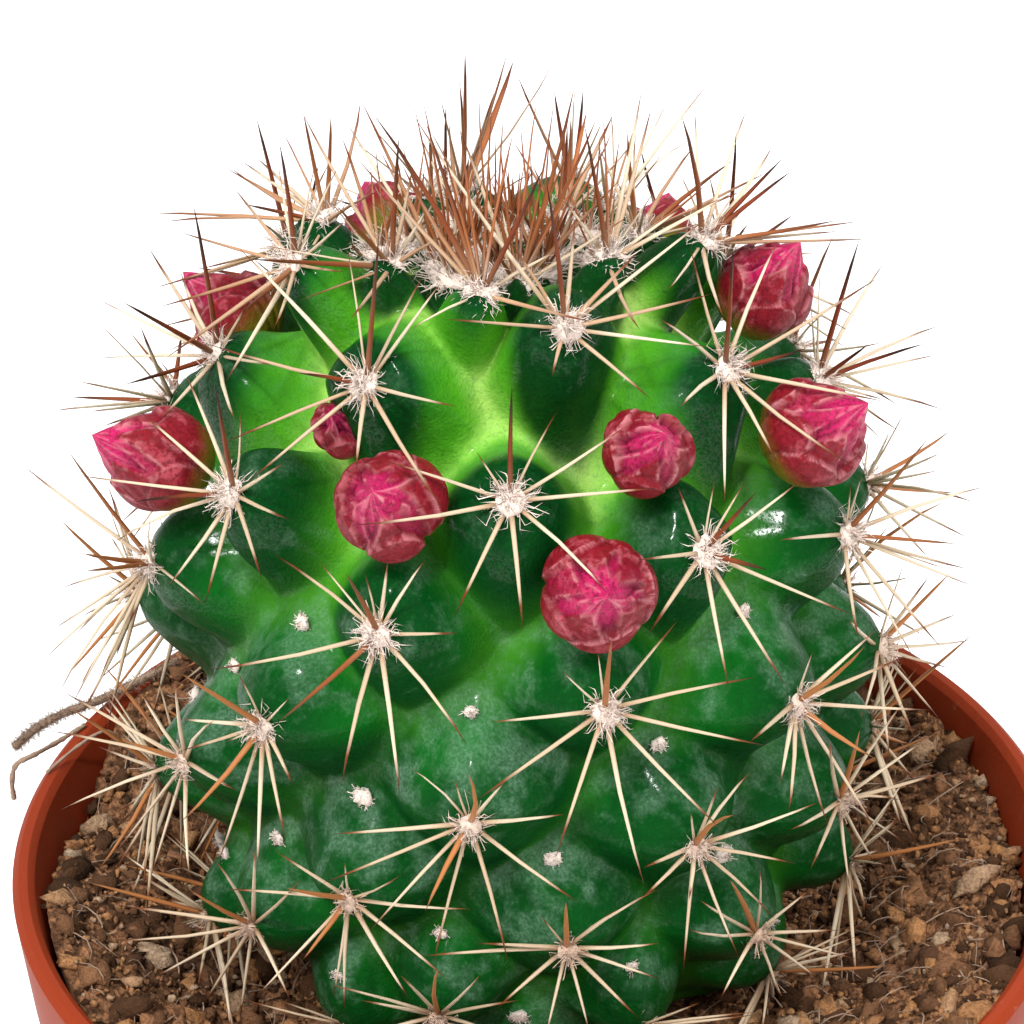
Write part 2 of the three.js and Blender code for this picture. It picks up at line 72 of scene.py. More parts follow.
# The line through the tubercle tips: index, radius from the axis, height above the pot's rim.
TIP_LINE = np.array([
    (-36, 0.6, 51.0), (-28, 7.0, 52.3), (-21, 9.7, 52.8), (-16, 12.2, 54.3), (-11, 15.8, 54.3),
    (-5, 18.9, 48.5), (3, 24.8, 41.2), (12, 28.2, 32.2), (22, 29.1, 21.3), (33, 28.8, 10.9),
    (44, 27.5, 1.9), (56, 23.0, -6.2),
])
TUBERCLE_HEIGHT = np.array([
    (-36, 0.8), (-28, 1.6), (-21, 3.0), (-11, 5.6), (0, 7.8), (12, 7.6), (25, 6.8), (44, 6.0),
    (56, 4.0),
])
# How steeply the crown's tubercles point up: index, degrees. Below, they follow the tip line.
CROWN_FACES = np.array([(-36, 90), (-28, 85), (-21, 74), (-16, 61), (-11, 47), (-5, 33)])
AXIS_AT_SOIL = (-1.2, 0.95)
AXIS_LEAN = (-0.029, -0.019)
AXIS_BEND = (0.001, 0.005)
BEND_STARTS = 33
ROOT_BELOW_RIM = 5
SMALLEST_RADIUS = 0.05
SLOPE_STEP = 0.1
# How wide a tubercle's base reaches, how round its tip is, how sharply it meets the next ones,
# how softly it leaves the valley floor and how much its sides are keeled.
TUBERCLE_REACH = 0.64
TIP_ROUNDNESS = 0.16
VALLEY_SHARPNESS = 14
FLOOR_SOFTNESS = 0.1
KEEL = 0.22
SMALLEST_BASE_AREA = 4
SOIL_LEVEL = RIM_LEVEL - 8.6
NECK_RADIUS = 16
NECK_TAPER = 3
NECK_DEPTH = 14
# The axil over a tubercle: indices up the spiral, the row it lies in, and a tuft's shift in it.
AXIL_UP = 6.5
AXIL_ROW = 13
TUFT_ACROSS = 2.2

# Buds: the tubercle above which each grows, its shift round the stem, up it and out of it, its
# lean round and up in degrees, its width and its length.
BUDS = (
    (8, 2.5, 0.3, 0.4, 4, -7, 7.9, 8.6),
    (13, 2.9, 0.6, 0.4, -6, 0, 8.2, 8.8),
    (5, -0.2, -0.9, 0.6, -6, -8, 6.5, 7.6),
    (10, 0.5, 1.6, 1.6, -4, 6, 8.1, 9.6),
    (2, 0.7, 1.2, 1.6, -21, 23, 7.2, 9.4),
    (11, 4.0, 0.8, 1.8, 8, 4, 8.0, 10.4),
    (6, -0.4, 0.6, -0.5, 0, -3, 7.4, 9.2),
    (3, 6.5, -0.5, -3.0, 14, 1, 4.6, 5.2),
    (1, -2.7, 1.4, -0.6, -5, -5, 6.6, 8.4),
    (-1, 0.4, -1.5, -1.2, 26, 1, 6.0, 7.6),
    (4, 0, 0, -2.4, 0, 0, 6.2, 6.8),
    (9, 1.0, 0, -1.0, 0, 0, 7.6, 8.6),
    (12, 1.0, 0, -1.6, 0, 0, 7.0, 7.8),
)
BUD_BELLY = 0.42

# Small shifts of single tubercles, in millimetres round the stem, up it and out of it.
NUDGES = {
    -20: (-1.6, 0, -2.2), -17: (2.7, 0, 0), -14: (2.0, 0, -2.0), -13: (1.88, -1.33, 0),
    -12: (-2.3, 0, -2.2), -8: (-1.58, 0.29, 0), -5: (0.43, -0.07, 0), -3: (0.72, 0.65, 0),
    0: (0.06, -0.85, 0), 5: (-0.28, -0.35, 0), 8: (-0.31, -0.17, 0), 16: (0, -0.32, 0),
    21: (-0.15, 0.28, 0), 26: (0.14, 0.2, 0), 29: (0.21, -0.35, 0), 34: (0.11, 0.55, 0),
    37: (-0.15, -0.59, 0),
}
NUDGE_REACH = 0.75
# The dark cap of a tubercle in millimetres: half width, above and below the tip. It is partly the
# skin's own dark green and partly painted shade on the tubercle's lower side.
YOUNG_CAP = (3.9, 3.1, 8.4)
GROWN_CAP = (4.3, 4.3, 5.2)
# Young caps turn into grown ones between these indices.
CAP_GROWS = (-5, 1)
# The most that a cap spans, as shares of its tubercle's reach.
WIDEST_CAP = (0.9, 0.85, 1.3)
CAP_SHARPNESS = 12
FARTHEST_CAP = 9
# Tubercles whose caps are paler than the others', and by how much: painted light, where light falls
# more brightly on them.
LIT_CAPS = {-13: 0.5, -10: 0.4, -5: 0.04, -11: 0.12, -18: 0.1}


def smoothstep(low, high, x):
    """0 below low, 1 above high, and smooth between."""
    t = np.clip((x - low) / (high - low), 0, 1)
    return t * t * (3 - 2 * t)


def curve_through(table, column, x):
    """A smooth curve through a column of a table whose first column is the index."""
    knots, values = table[:, 0], table[:, column]
    spans = np.diff(knots)
    rates = np.diff(values) / spans
    slopes = np.concatenate([rates[:1], rates])
    slopes[1:-1] = (rates[:-1] * spans[1:] + rates[1:] * spans[:-1]) / (spans[:-1] + spans[1:])
    i = np.clip(np.searchsorted(knots, x, side="right") - 1, 0, len(spans) - 1)
    t = (x - knots[i]) / spans[i]
    rest = 1 - t
    start = (1 + 2 * t) * rest**2 * values[i] + t * rest**2 * spans[i] * slopes[i]
    return start + t * t * (3 - 2 * t) * values[i + 1] - t * t * rest * spans[i] * slopes[i + 1]


def outline(index):
    """Radius, height, outward direction (r, z) and tubercle height along the tip line."""
    index = np.asarray(index, float)
    radius, height = (curve_through(TIP_LINE, column, index) for column in (1, 2))
    dr, dz = (
        curve_through(TIP_LINE, column, index + SLOPE_STEP)
        - curve_through(TIP_LINE, column, index - SLOPE_STEP)
        for column in (1, 2)
    )
    crown = np.radians(np.interp(index, CROWN_FACES[:, 0], CROWN_FACES[:, 1]))
    face = np.where(index < CROWN_FACES[-1, 0], crown, np.arctan2(dr, -dz))
    rise = np.interp(index, TUBERCLE_HEIGHT[:, 0], TUBERCLE_HEIGHT[:, 1])
    return radius, height, np.cos(face), np.sin(face), rise


def onto_axis(radius, angle, height):
    """Points of the straight, upright plant, moved onto its leaning and bending axis."""
    above = np.maximum(0, height - BEND_STARTS)
    flat = (radius * np.cos(angle), radius * np.sin(angle))
    slopes = [lean + 2 * bend * above for lean, bend in zip(AXIS_LEAN, AXIS_BEND)]
    across = [
        AXIS_AT_SOIL[i] + AXIS_LEAN[i] * (height + ROOT_BELOW_RIM) + AXIS_BEND[i] * above**2
        + flat[i] * np.cos(slopes[i])
        for i in (0, 1)
    ]
    up = RIM_LEVEL + height - sum(flat[i] * np.sin(slopes[i]) for i in (0, 1))
    return np.stack(np.broadcast_arrays(*across, up), -1)


def straight_point(index, lift):
    """Radius and height, before the axis leans, at a lift above the body's core."""
    radius, height, out_r, out_z, rise = outline(index)
    radius = np.maximum(SMALLEST_RADIUS, radius + (lift - rise) * out_r)
    return radius, height + (lift - rise) * out_z


def polar(radius, angle, height):
    """Points of the straight plant from cylinder coordinates."""
    return np.stack(np.broadcast_arrays(radius * np.cos(angle), radius * np.sin(angle), height), -1)


def spiral_angle(index):
    """Where round the stem the tubercle with an index stands."""
    return FIRST_ANGLE - SPIRAL_TURN * index


def row_turn(row):
    """The turn between a tubercle and the next one in its row, the short way round."""
    turn = -row * SPIRAL_TURN
    return turn - TURN * round(turn / TURN)


def unit(vectors):
    """Vectors scaled to length one."""
    return vectors / np.linalg.norm(vectors, axis=-1, keepdims=True)


class Tubercles:
    """All tubercles at once: places, directions and how wide each base reaches."""

    def __init__(self):
        self.index = np.arange(TOP_INDEX, BOTTOM_INDEX + 1)
        self.angle = spiral_angle(self.index)
        radius, height = straight_point(self.index, 0)
        before, after = (straight_point(self.index + step, 0) for step in (-0.5, 0.5))
        row = np.hypot(after[0] - before[0], after[1] - before[1])
        area = np.maximum(SMALLEST_BASE_AREA, TURN * radius * row)
        tip_radius, tip_height, out_r, out_z, _ = outline(self.index)
        self.base = polar(radius, self.angle, height)
        self.reach = TUBERCLE_REACH * np.sqrt(2 / math.sqrt(3) * area)
        self.outward = polar(out_r, self.angle, out_z)
        self.side = polar(1, self.angle + math.pi / 2, 0)
        self.upward = np.cross(self.outward, self.side)
        nudges = np.array([NUDGES.get(i, (0, 0, 0)) for i in self.index.tolist()])
        across, up, out = np.hsplit(nudges, 3)
        self.nudge = across * self.side + up * self.upward + out * self.outward
        self.tip = onto_axis(tip_radius, self.angle, tip_height) + self.nudge
        grown = smoothstep(*CAP_GROWS, self.index)[:, None]
        self.cap = (1 - grown) * YOUNG_CAP + grown * GROWN_CAP
        self.cap = np.minimum(self.cap, self.reach[:, None] * WIDEST_CAP)
        # How much paler each cap is painted where light falls on it: painted light.
        self.lit_paling = np.array([LIT_CAPS.get(i, 0) for i in self.index.tolist()])

    def read(self, points):
        """At core points: share of the height, place on the dark cap, how low, and the nudge."""
        offset = points[:, None, :] - self.base
        along = np.einsum("ijk,jk->ij", offset, self.side) / self.reach
        climb = np.einsum("ijk,jk->ij", offset, self.upward) / self.reach
        away = np.linalg.norm(offset, axis=2) / self.reach
        distance = away + KEEL * np.minimum(abs(along), abs(climb))
        cone = 1 - (np.hypot(distance, TIP_ROUNDNESS) - TIP_ROUNDNESS)
        weight = np.exp(VALLEY_SHARPNESS * np.maximum(-1, cone))
        total = weight.sum(1)
        share = np.log(total) / VALLEY_SHARPNESS
        width, above, below = self.cap.T
        # The paler caps start further out, so less of them is dark: painted light.
        cap = self.lit_paling + self.reach * np.hypot(
            along / width, climb / np.where(climb > 0, above, below)
        )
        nearby = np.exp(-CAP_SHARPNESS * np.minimum(cap, FARTHEST_CAP))
        cap = -np.log(nearby.sum(1)) / CAP_SHARPNESS
        nudge = np.exp(-((away / NUDGE_REACH) ** 2)) @ self.nudge
        return (
            0.5 * (share + np.hypot(share, FLOOR_SOFTNESS)), cap,
            (weight * -climb).sum(1) / total, nudge,
        )


TUBERCLES = Tubercles()


# ---- Modelling tools ------------------------------------------------------------------------

# The shortest radius that a needle's ring is drawn in to, as a share of its first.
THINNEST_RING = 0.001
# Points nearer than this, in metres, are joined along a seam.
SEAM_GAP = 1e-7
# How far apart the noise of one seed and the next are read.
NOISE_STRIDE = (7.3, 3.1, 5.7)


def in_edit_mode(work):
    """Runs work with all of the active object selected in edit mode."""
    bpy.ops.object.mode_set(mode="EDIT")
    bpy.ops.mesh.select_all(action="SELECT")
    work()
    bpy.ops.object.mode_set(mode="OBJECT")


def face_outwards():
    """Turns all faces outwards, in edit mode."""
    bpy.ops.mesh.select_all(action="SELECT")
    bpy.ops.mesh.normals_make_consistent(inside=False)


def extrude_rings(rings, scale=1):
    """Draws the selected disc up from ring to ring of (height, radius), in edit mode."""
    for (low, wide), (high, narrow) in zip(rings, rings[1:]):
        move = (0, 0, (high - low) * scale)
        bpy.ops.mesh.extrude_region_move(TRANSFORM_OT_translate={"value": move})
        share = max(narrow, THINNEST_RING) / wide
        centre = (0, 0, high * scale)
        bpy.ops.transform.resize(value=(share, share, 1), center_override=centre)


def select_only(piece):
    """Makes a piece the one that is selected and active."""
    bpy.ops.object.select_all(action="DESELECT")
    piece.select_set(True)
    bpy.context.view_layer.objects.active = piece


def fresh(add, **sizes):
    """A new primitive, alone selected and active."""
    bpy.ops.object.select_all(action="DESELECT")
    add(**sizes)
    return bpy.context.object


def points_of(piece):
    """The piece's vertices as an array."""
    points = np.empty(len(piece.data.vertices) * 3)
    piece.data.vertices.foreach_get("co", points)
    return points.reshape(-1, 3)


def move_points(piece, points):
    """Puts the piece's vertices at new places, in metres."""
    piece.data.vertices.foreach_set("co", np.ascontiguousarray(points, float).ravel())
    piece.data.update()


def mark(piece, **values):
    """Stores a number for each vertex under a name that the finish reads."""
    for name, numbers in values.items():
        layer = piece.data.attributes.new(name, "FLOAT", "POINT")
        layer.data.foreach_set("value", np.ascontiguousarray(numbers, np.float32))


def finish_piece(piece, name, finish, node=None):
    """Names a piece, gives it its finish, fixes it to the plant and hides the part that it stands
    for.
    """
    piece.name = piece.data.name = name
    piece.data.materials.clear()
    piece.data.materials.append(finish)
    piece.data.polygons.foreach_set("use_smooth", [True] * len(piece.data.polygons))
    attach(piece, "root")
    if node:
        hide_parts(node)


def take_shape():
    """The active object's points and faces, after which the object is removed."""
    model = bpy.context.object
    shape = points_of(model), [tuple(face.vertices) for face in model.data.polygons]
    bpy.data.objects.remove(model)
    return shape


def model_needle(sides, stations):
    """A needle one long and one in radius: a disc extruded along +Z from ring to ring."""
    fresh(bpy.ops.mesh.primitive_circle_add, vertices=sides, radius=1, fill_type="NGON")

    def draw_out():
        extrude_rings(stations)
        bpy.ops.mesh.merge(type="CENTER")
        face_outwards()

    in_edit_mode(draw_out)
    return take_shape()


def copies(name, shape, places):
    """One object of many copies: places has each copy's points, one row of points a copy."""
    points, faces = shape
    mesh = bpy.data.meshes.new(name)
    step = len(points)
    all_faces = [
        tuple(step * i + corner for corner in face) for i in range(len(places)) for face in faces
    ]
    mesh.from_pydata((places.reshape(-1, 3) * MM).tolist(), [], all_faces)
    piece = bpy.data.objects.new(name, mesh)
    bpy.context.collection.objects.link(piece)
    return piece


def plant_needles(name, shape, roots, tips, widths, bends, flat=1):
    """Copies of a needle from roots to tips, bowed by bends; marks how far along each point is."""
    points = shape[0]
    along = points[:, 2]
    reach = tips - roots
    helper = np.where(abs(unit(reach)[:, 2:]) < 0.9, (0.0, 0.0, 1.0), (1.0, 0.0, 0.0))
    first = unit(np.cross(reach, helper))
    second = unit(np.cross(reach, first)) * flat
    widths = np.reshape(widths, (-1, 1, 1))
    places = roots[:, None] + reach[:, None] * along[:, None]
    places = places + widths * (
        first[:, None] * points[:, :1] - second[:, None] * points[:, 1:2]
    )
    bow = (4 * along * (1 - along))[:, None]
    piece = copies(name, shape, places + np.reshape(bends, (-1, 1, 3)) * bow)
    mark(piece, along=np.tile(along, len(roots)))
    return piece


def spread(values, shape):
    """One value for each copy, repeated for all its points."""
    return np.repeat(values, len(shape[0]))


def extruded_round(sides, profile):
    """A closed turned body: a disc on the ground, drawn along a profile of (radius, height)."""
    piece = fresh(
        bpy.ops.mesh.primitive_circle_add, vertices=sides, radius=profile[0][0] * MM,
        fill_type="NGON",
    )

    def draw_out():
        extrude_rings([(height, radius) for radius, height in profile], MM)
        face_outwards()

    in_edit_mode(draw_out)
    return piece


def wrapped_grid(around, rows):
    """A flat grid to wrap round an axis, and each point's shares of the way round and down."""
    piece = fresh(
        bpy.ops.mesh.primitive_grid_add, x_subdivisions=around, y_subdivisions=rows, size=1
    )
    return piece, points_of(piece)[:, :2] + 0.5


def close_grid():
    """Joins the active wrapped grid's seam and ends and turns its faces outwards."""
    def close():
        bpy.ops.mesh.remove_doubles(threshold=SEAM_GAP)
        face_outwards()

    in_edit_mode(close)


def noise_at(points, size, seed, octaves=3):
    """Soft noise between about -1 and 1, with lumps of a size in millimetres."""
    shift = Vector([seed * stride for stride in NOISE_STRIDE])
    return np.array([
        noise.fractal(Vector(p) / size + shift, 1.0, 2.0, octaves) for p in points.tolist()
    ])


def apply_modifier(piece, kind, **settings):
    """Adds a modifier with its settings and applies it."""
    bpy.context.view_layer.objects.active = piece
    modifier = piece.modifiers.new(kind.title(), kind)
    for name, value in settings.items():
        setattr(modifier, name, value)
    bpy.ops.object.modifier_apply(modifier=modifier.name)


# ---- Shader tools ---------------------------------------------------------------------------

class Sock:
    """An output socket; sums with it add Math nodes to its finish."""

    def __init__(self, finish, socket):
        self.finish = finish
        self.socket = socket

    def _math(self, operation, *values):
        """A Math node of two values."""
        sockets = dict(enumerate(values))
        return self.finish.node("ShaderNodeMath", {"operation": operation}, sockets)

    def __add__(self, other):
        return self._math("ADD", self, other)

    def __sub__(self, other):
        return self._math("SUBTRACT", self, other)

    def __rsub__(self, other):
        return self._math("SUBTRACT", other, self)

    def __mul__(self, other):
        return self._math("MULTIPLY", self, other)

    __radd__ = __add__
    __rmul__ = __mul__


class Finish:
    """A procedural material: one principled shader and the nodes that feed it."""

    def __init__(self, name, **constants):
        self.material = bpy.data.materials.new(name)
        self.material.use_nodes = True
        self.tree = self.material.node_tree
        self.shader = self.tree.nodes["Principled BSDF"]
        for socket, value in constants.items():
            self.shader.inputs[socket.replace("_", " ")].default_value = value

    def join(self, socket, value):
        """Links a Sock to a node's socket, or sets the socket's number or colour."""
        if isinstance(value, Sock):
            self.tree.links.new(value.socket, socket)
        elif socket.type == "RGBA":
            socket.default_value = (*value, 1)
        else:
            socket.default_value = value

    def node(self, kind, settings=None, sockets=None, output=0):
        """A node of a type, with its settings, then the values or links of its sockets."""
        made = self.tree.nodes.new(kind)
        for name, value in (settings or {}).items():
            if name == "stops":
                self.set_stops(made.color_ramp, value)
            else:
                setattr(made, name, value)
        for name, value in (sockets or {}).items():
            self.join(made.inputs[name], value)
        return Sock(self, made.outputs[output])

    def set_stops(self, ramp, stops):
        """Gives a colour ramp its stops: position and colour."""
        while len(ramp.elements) < len(stops):
            ramp.elements.new(1)
        for element, (position, colour) in zip(ramp.elements, stops):
            element.position = position
            element.color = (*colour, 1)

    def place(self):
        """Object coordinates."""
        return self.node("ShaderNodeTexCoord", output=3)

    def value(self, name):
        """A number stored on the mesh's points."""
        return self.node("ShaderNodeAttribute", {"attribute_name": name}, output=2)

    def noise(self, size, detail=3, roughness=0.55):
        """Soft noise between 0 and 1, with lumps of a size in millimetres."""
        sockets = {
            "Vector": self.place(), "Scale": 1 / (size * MM), "Detail": detail,
            "Roughness": roughness,
        }
        return self.node("ShaderNodeTexNoise", {}, sockets)

    def step(self, low, high, value):
        """0 where value is below low, 1 above high, and smooth between."""
        sockets = {"Value": value, "From Min": low, "From Max": high}
        return self.node("ShaderNodeMapRange", {"interpolation_type": "SMOOTHSTEP"}, sockets)

    def mix(self, share, first, second, blend="MIX"):
        """Two colours mixed by a share."""
        sockets = {0: share, 6: first, 7: second}
        settings = {"data_type": "RGBA", "blend_type": blend}
        return self.node("ShaderNodeMix", settings, sockets, output=2)

    def ramp(self, value, stops):
        """A colour ramp read at a value."""
        return self.node("ShaderNodeValToRGB", {"stops": stops}, {"Fac": value})

    def bump(self, height, depth, strength=1.0):
        """Feeds the normal from a height, whose full range is a depth in millimetres."""
        sockets = {"Height": height, "Distance": depth * MM, "Strength": strength}
        self.feed("Normal", self.node("ShaderNodeBump", {}, sockets))

    def feed(self, socket, value):
        """Feeds a socket of the shader."""
        self.join(self.shader.inputs[socket], value)


# ---- Finishes -------------------------------------------------------------------------------

# Linear colours that no panel setting gives.
OLD_SPINE = (0.45, 0.18, 0.06)
SPINE_STREAK = (0.5, 0.34, 0.2)
YOUNG_SPINE = ((0.0, (0.5, 0.32, 0.18)), (0.35, (0.34, 0.12, 0.04)), (1.0, (0.1, 0.022, 0.008)))
OLD_WOOL = ((0.62, 0.42, 0.27), (0.34, 0.16, 0.07))
SCUFF = (0.62, 0.36, 0.27)
# Soil smears and painted shade inside the pot.
DIRT_AND_SHADE = (0.09, 0.035, 0.02)
DRY_FIBRE = ((0.13, 0.075, 0.045), (0.52, 0.37, 0.27))


def darker(colour, share):
    """A colour at a share of its brightness."""
    return tuple(share * part for part in colour)


def skin_finish(colours):
    """Waxy green skin: lime in the young valleys, dark caps and undersides that are partly painted
    shade, and bloom with a painted sheen on the upper flanks.
    """
    finish = Finish("cactus_skin", Specular_IOR_Level=0.03, Coat_Roughness=0.13)
    tip, cap, age, low = (finish.value(name) for name in ("tip", "cap", "age", "low"))
    soft = finish.noise(4, 3) - 0.5
    mottle = finish.noise(1.1, 5, 0.65) - 0.5
    youth = 1 - finish.step(-7, 17, age)
    # Valleys, then flanks, then the dark caps round the tips, which are partly the skin's own dark
    # green and partly painted shade.
    valley = finish.mix(youth, colours.valley, colours.lime)
    floor = 1 - finish.step(0.1, 0.36 + 0.12 * youth, tip + 0.2 * soft + 0.1 * mottle)
    valley = finish.mix(floor * finish.step(0.45, 0.95, youth), valley, colours.pale_lime)
    rise = finish.step(0.24, 0.5 + 0.4 * youth, tip + 0.3 * soft + 0.12 * mottle)
    tone = finish.mix(rise, valley, colours.flank)
    edge = cap + (0.34 - 0.2 * youth) * soft + 0.14 * mottle
    dark = 1 - finish.step(0.5 + 0.16 * youth, 1.24 - 0.26 * youth, edge)
    dark = dark * finish.step(0.03, 0.16, tip)
    tone = finish.mix((0.75 + 0.2 * youth) * dark, tone, colours.shade)
    # Old tubercles are darker on their undersides: partly their own darker green, partly painted
    # shade.
    under = finish.step(0.05, 0.7, low + 0.3 * soft) * (1 - youth)
    tone = finish.mix(0.72 * under, tone, colours.shade)
    fine = finish.noise(0.4, 3, 0.7)
    tone = finish.mix(0.3 * finish.step(0.5, 0.7, fine), tone, colours.flank)
    # Bloom: pale grains of wax, made thickest on the flanks that look up by a painted sheen.
    bloom_and_sheen = finish.step(0.52, 0.76, finish.noise(3.2, 4, 0.6) - 0.22 * low + 0.02)
    grains = finish.step(0.34, 0.7, finish.noise(0.26, 4, 0.65))
    bloom_and_sheen = bloom_and_sheen * (0.3 + 0.7 * grains) * (1 - 0.7 * youth)
    tone = finish.mix(0.24 * bloom_and_sheen, tone, colours.bloom_and_sheen)
    finish.feed("Base Color", tone)
    finish.feed("Roughness", 0.36 + 0.14 * bloom_and_sheen + 0.22 * mottle)
    # The gloss is broken up by the skin's pebbled grain.
    pebbles = finish.step(0.4, 0.58, finish.noise(0.22, 2, 0.6))
    finish.feed("Coat Weight", 0.02 + pebbles * (0.17 + 0.14 * bloom_and_sheen + 0.1 * youth))
    finish.bump(0.5 * fine + 0.6 * grains + 2.8 * finish.noise(1.7, 3), 0.08, 0.8)
    return finish.material


def spine_finish(name, root, middle, tip, tip_starts, fade):
    """Dry smooth horn: colours from root to tip, with streaks along it."""
    finish = Finish(name, Specular_IOR_Level=0.22)
    along, tint = finish.value("along"), finish.value("tint")
    shift = 0.16 * (tint - 0.5) + 0.1 * (finish.noise(1.1, 3) - 0.5)
    tone = finish.ramp(along + shift, [
        (0.0, root), (0.3, middle), (tip_starts, middle), (0.5 + tip_starts / 2, tip),
        (1.0, darker(tip, 0.35)),
    ])
    tone = finish.mix(0.5 * tint, tone, SPINE_STREAK, "MULTIPLY")
    old = finish.step(2, 18, finish.value("age")) * (1 - 0.5 * finish.step(0.7, 1.0, along))
    tone = finish.mix(fade * old, tone, OLD_SPINE)
    young = (1 - finish.step(-14, 1, finish.value("age"))) * finish.step(0.1, 0.9, tint)
    tone = finish.mix(0.75 * young, tone, finish.ramp(along, YOUNG_SPINE))
    finish.feed("Base Color", tone)
    finish.feed("Roughness", 0.34 + 0.2 * finish.noise(0.8, 2))
    finish.bump(finish.noise(0.25, 2), 0.02)
    return finish.material


def wool_finish(colour):
    """Matted plant wool, browner with age."""
    finish = Finish("wool", Roughness=0.85, Sheen_Weight=0.3)
    tint, age = finish.value("tint"), finish.value("age")
    old = finish.step(4, 40, age)
    young = finish.mix(tint, colour, darker(colour, 0.72))
    brown = finish.mix(tint, *OLD_WOOL)
    finish.feed("Base Color", finish.mix(0.75 * old, young, brown))
    finish.bump(finish.noise(0.2, 3), 0.05)
    return finish.material


def bud_finish(colours):
    """Petals of dusty red, magenta inside, with thin pale margins, painted shadows under their
    edges, painted highlights on the tip's folds and an olive base.
    """
    finish = Finish("bud_petals", Specular_IOR_Level=0.2)
    inner, margin, dark, share = (
        finish.value(name) for name in ("inner", "margin", "dark", "share")
    )
    soft = finish.noise(1.5, 4, 0.6)
    veins = finish.noise(0.3, 4, 0.7)
    heart = inner + 0.7 * (soft - 0.5) + 0.25 * finish.step(0.7, 1.0, share)
    heart = finish.step(0.5, 1.1, heart)
    tone = finish.mix(heart, colours.outer, colours.inner)
    dusty = finish.step(0.5, 0.66, soft) * (1 - 0.6 * heart)
    tone = finish.mix(0.5 * dusty, tone, colours.dust)
    dark_veins = 0.6 * finish.step(0.46, 0.62, veins)
    tone = finish.mix(dark_veins, tone, darker(colours.outer, 0.45))
    # The petals' own pale margins, and the painted highlight on the tip's folds.
    pale = margin * finish.step(0.4, 0.56, finish.noise(0.9, 3))
    tone = finish.mix(0.7 * pale, tone, colours.margin)
    olive = 1 - finish.step(0.16, 0.42, share + 0.16 * (soft - 0.5))
    tone = finish.mix(olive, tone, colours.base)
    # Painted shadow beside the petals' edges.
    tone = finish.mix(0.75 * dark, tone, darker(colours.outer, 0.25))
    finish.feed("Base Color", tone)
    finish.feed("Roughness", 0.32 + 0.25 * soft)
    finish.bump(0.6 * veins + finish.noise(0.8, 3), 0.16, 0.8)
    return finish.material


def pot_finish(colour):
    """Moulded terracotta-coloured plastic, scuffed in patches, and darkened low inside by soil
    smears and painted shade.
    """
    finish = Finish("pot_plastic", Specular_IOR_Level=0.1)
    cloud = finish.noise(14, 4, 0.6)
    tone = finish.mix(cloud, darker(colour, 0.84), colour)
    scuffs = finish.step(0.62, 0.74, finish.noise(2.6, 6, 0.7))
    tone = finish.mix(0.22 * scuffs, tone, SCUFF)
    # Patches low inside: soil smears, deepened by painted shade below the rim.
    dirt_and_shade = finish.value("inside") * finish.step(0.42, 0.66, finish.noise(3.5, 5, 0.65))
    tone = finish.mix(0.7 * dirt_and_shade, tone, DIRT_AND_SHADE)
    finish.feed("Base Color", tone)
    finish.feed("Roughness", 0.42 + 0.2 * cloud + 0.2 * scuffs)
    finish.bump(finish.noise(0.35, 2) + 1.4 * finish.noise(6, 2), 0.05, 0.7)
    return finish.material


def soil_finish(colours):
    """Moist peat and bark, in clods, with painted shade in the gaps between them."""
    finish = Finish("soil", Roughness=0.95, Specular_IOR_Level=0.25)
    tint, clods = finish.value("tint"), finish.noise(0.9, 6, 0.7)
    # The darkest stops are painted shade in the hollows between the clods, where the bump sinks.
    tone = finish.ramp(clods, [
        (0.34, darker(colours.peat, 0.12)), (0.48, darker(colours.peat, 0.7)),
        (0.6, colours.bark), (0.74, colours.chip),
    ])
    chip = finish.ramp(tint, [
        (0.0, darker(colours.peat, 0.2)), (0.4, darker(colours.peat, 0.8)),
        (0.62, colours.bark), (0.85, colours.chip), (1.0, colours.pale),
    ])
    grain = finish.noise(0.3, 4, 0.7)
    dull = darker(colours.peat, 0.4)
    chip = finish.mix(0.55 * finish.step(0.36, 0.66, grain), chip, dull)
    tone = finish.mix(finish.value("chip"), tone, chip)
    finish.feed("Base Color", tone)
    finish.bump(clods + 0.5 * grain, 0.7)
    return finish.material


def twig_finish():
    """Grey-brown dry plant fibre."""
    finish = Finish("dry_fibre", Roughness=0.9)
    tone = finish.mix(finish.noise(1.2, 5, 0.7), *DRY_FIBRE)
    finish.feed("Base Color", tone)
    finish.bump(finish.noise(0.5, 4, 0.7), 0.25)
    return finish.material


def floor_finish(colour):
    """A plain pale matt floor."""
    finish = Finish(
        "pale_floor", Roughness=0.9, Specular_IOR_Level=0.1, Emission_Strength=0.25,
        Emission_Color=(1, 1, 1, 1),
    )
    finish.feed("Base Color", finish.mix(finish.noise(400, 2), darker(colour, 0.99), colour))
    return finish.material


# ---- Settings -------------------------------------------------------------------------------

def length_setting(name, description, millimetres):
    """A size that the panel shows, given in millimetres and kept in metres."""
    return FloatProperty(
        name=name, description=description, default=millimetres * MM, min=0, precision=5,
        subtype="DISTANCE", unit="LENGTH",
    )


def colour_setting(name, description, colour):
    """A linear colour that the panel shows."""
    return FloatVectorProperty(
        name=name, description=description, default=colour, min=0, max=1, size=3, subtype="COLOR",
    )


def count_setting(name, description, number, least=0):
    """A whole number that the panel shows."""
    return IntProperty(name=name, description=description, default=number, min=least)


def power_setting(name, description, watts):
    """A light's power that the panel shows."""
    return FloatProperty(name=name, description=description, default=watts, min=0, unit="POWER")


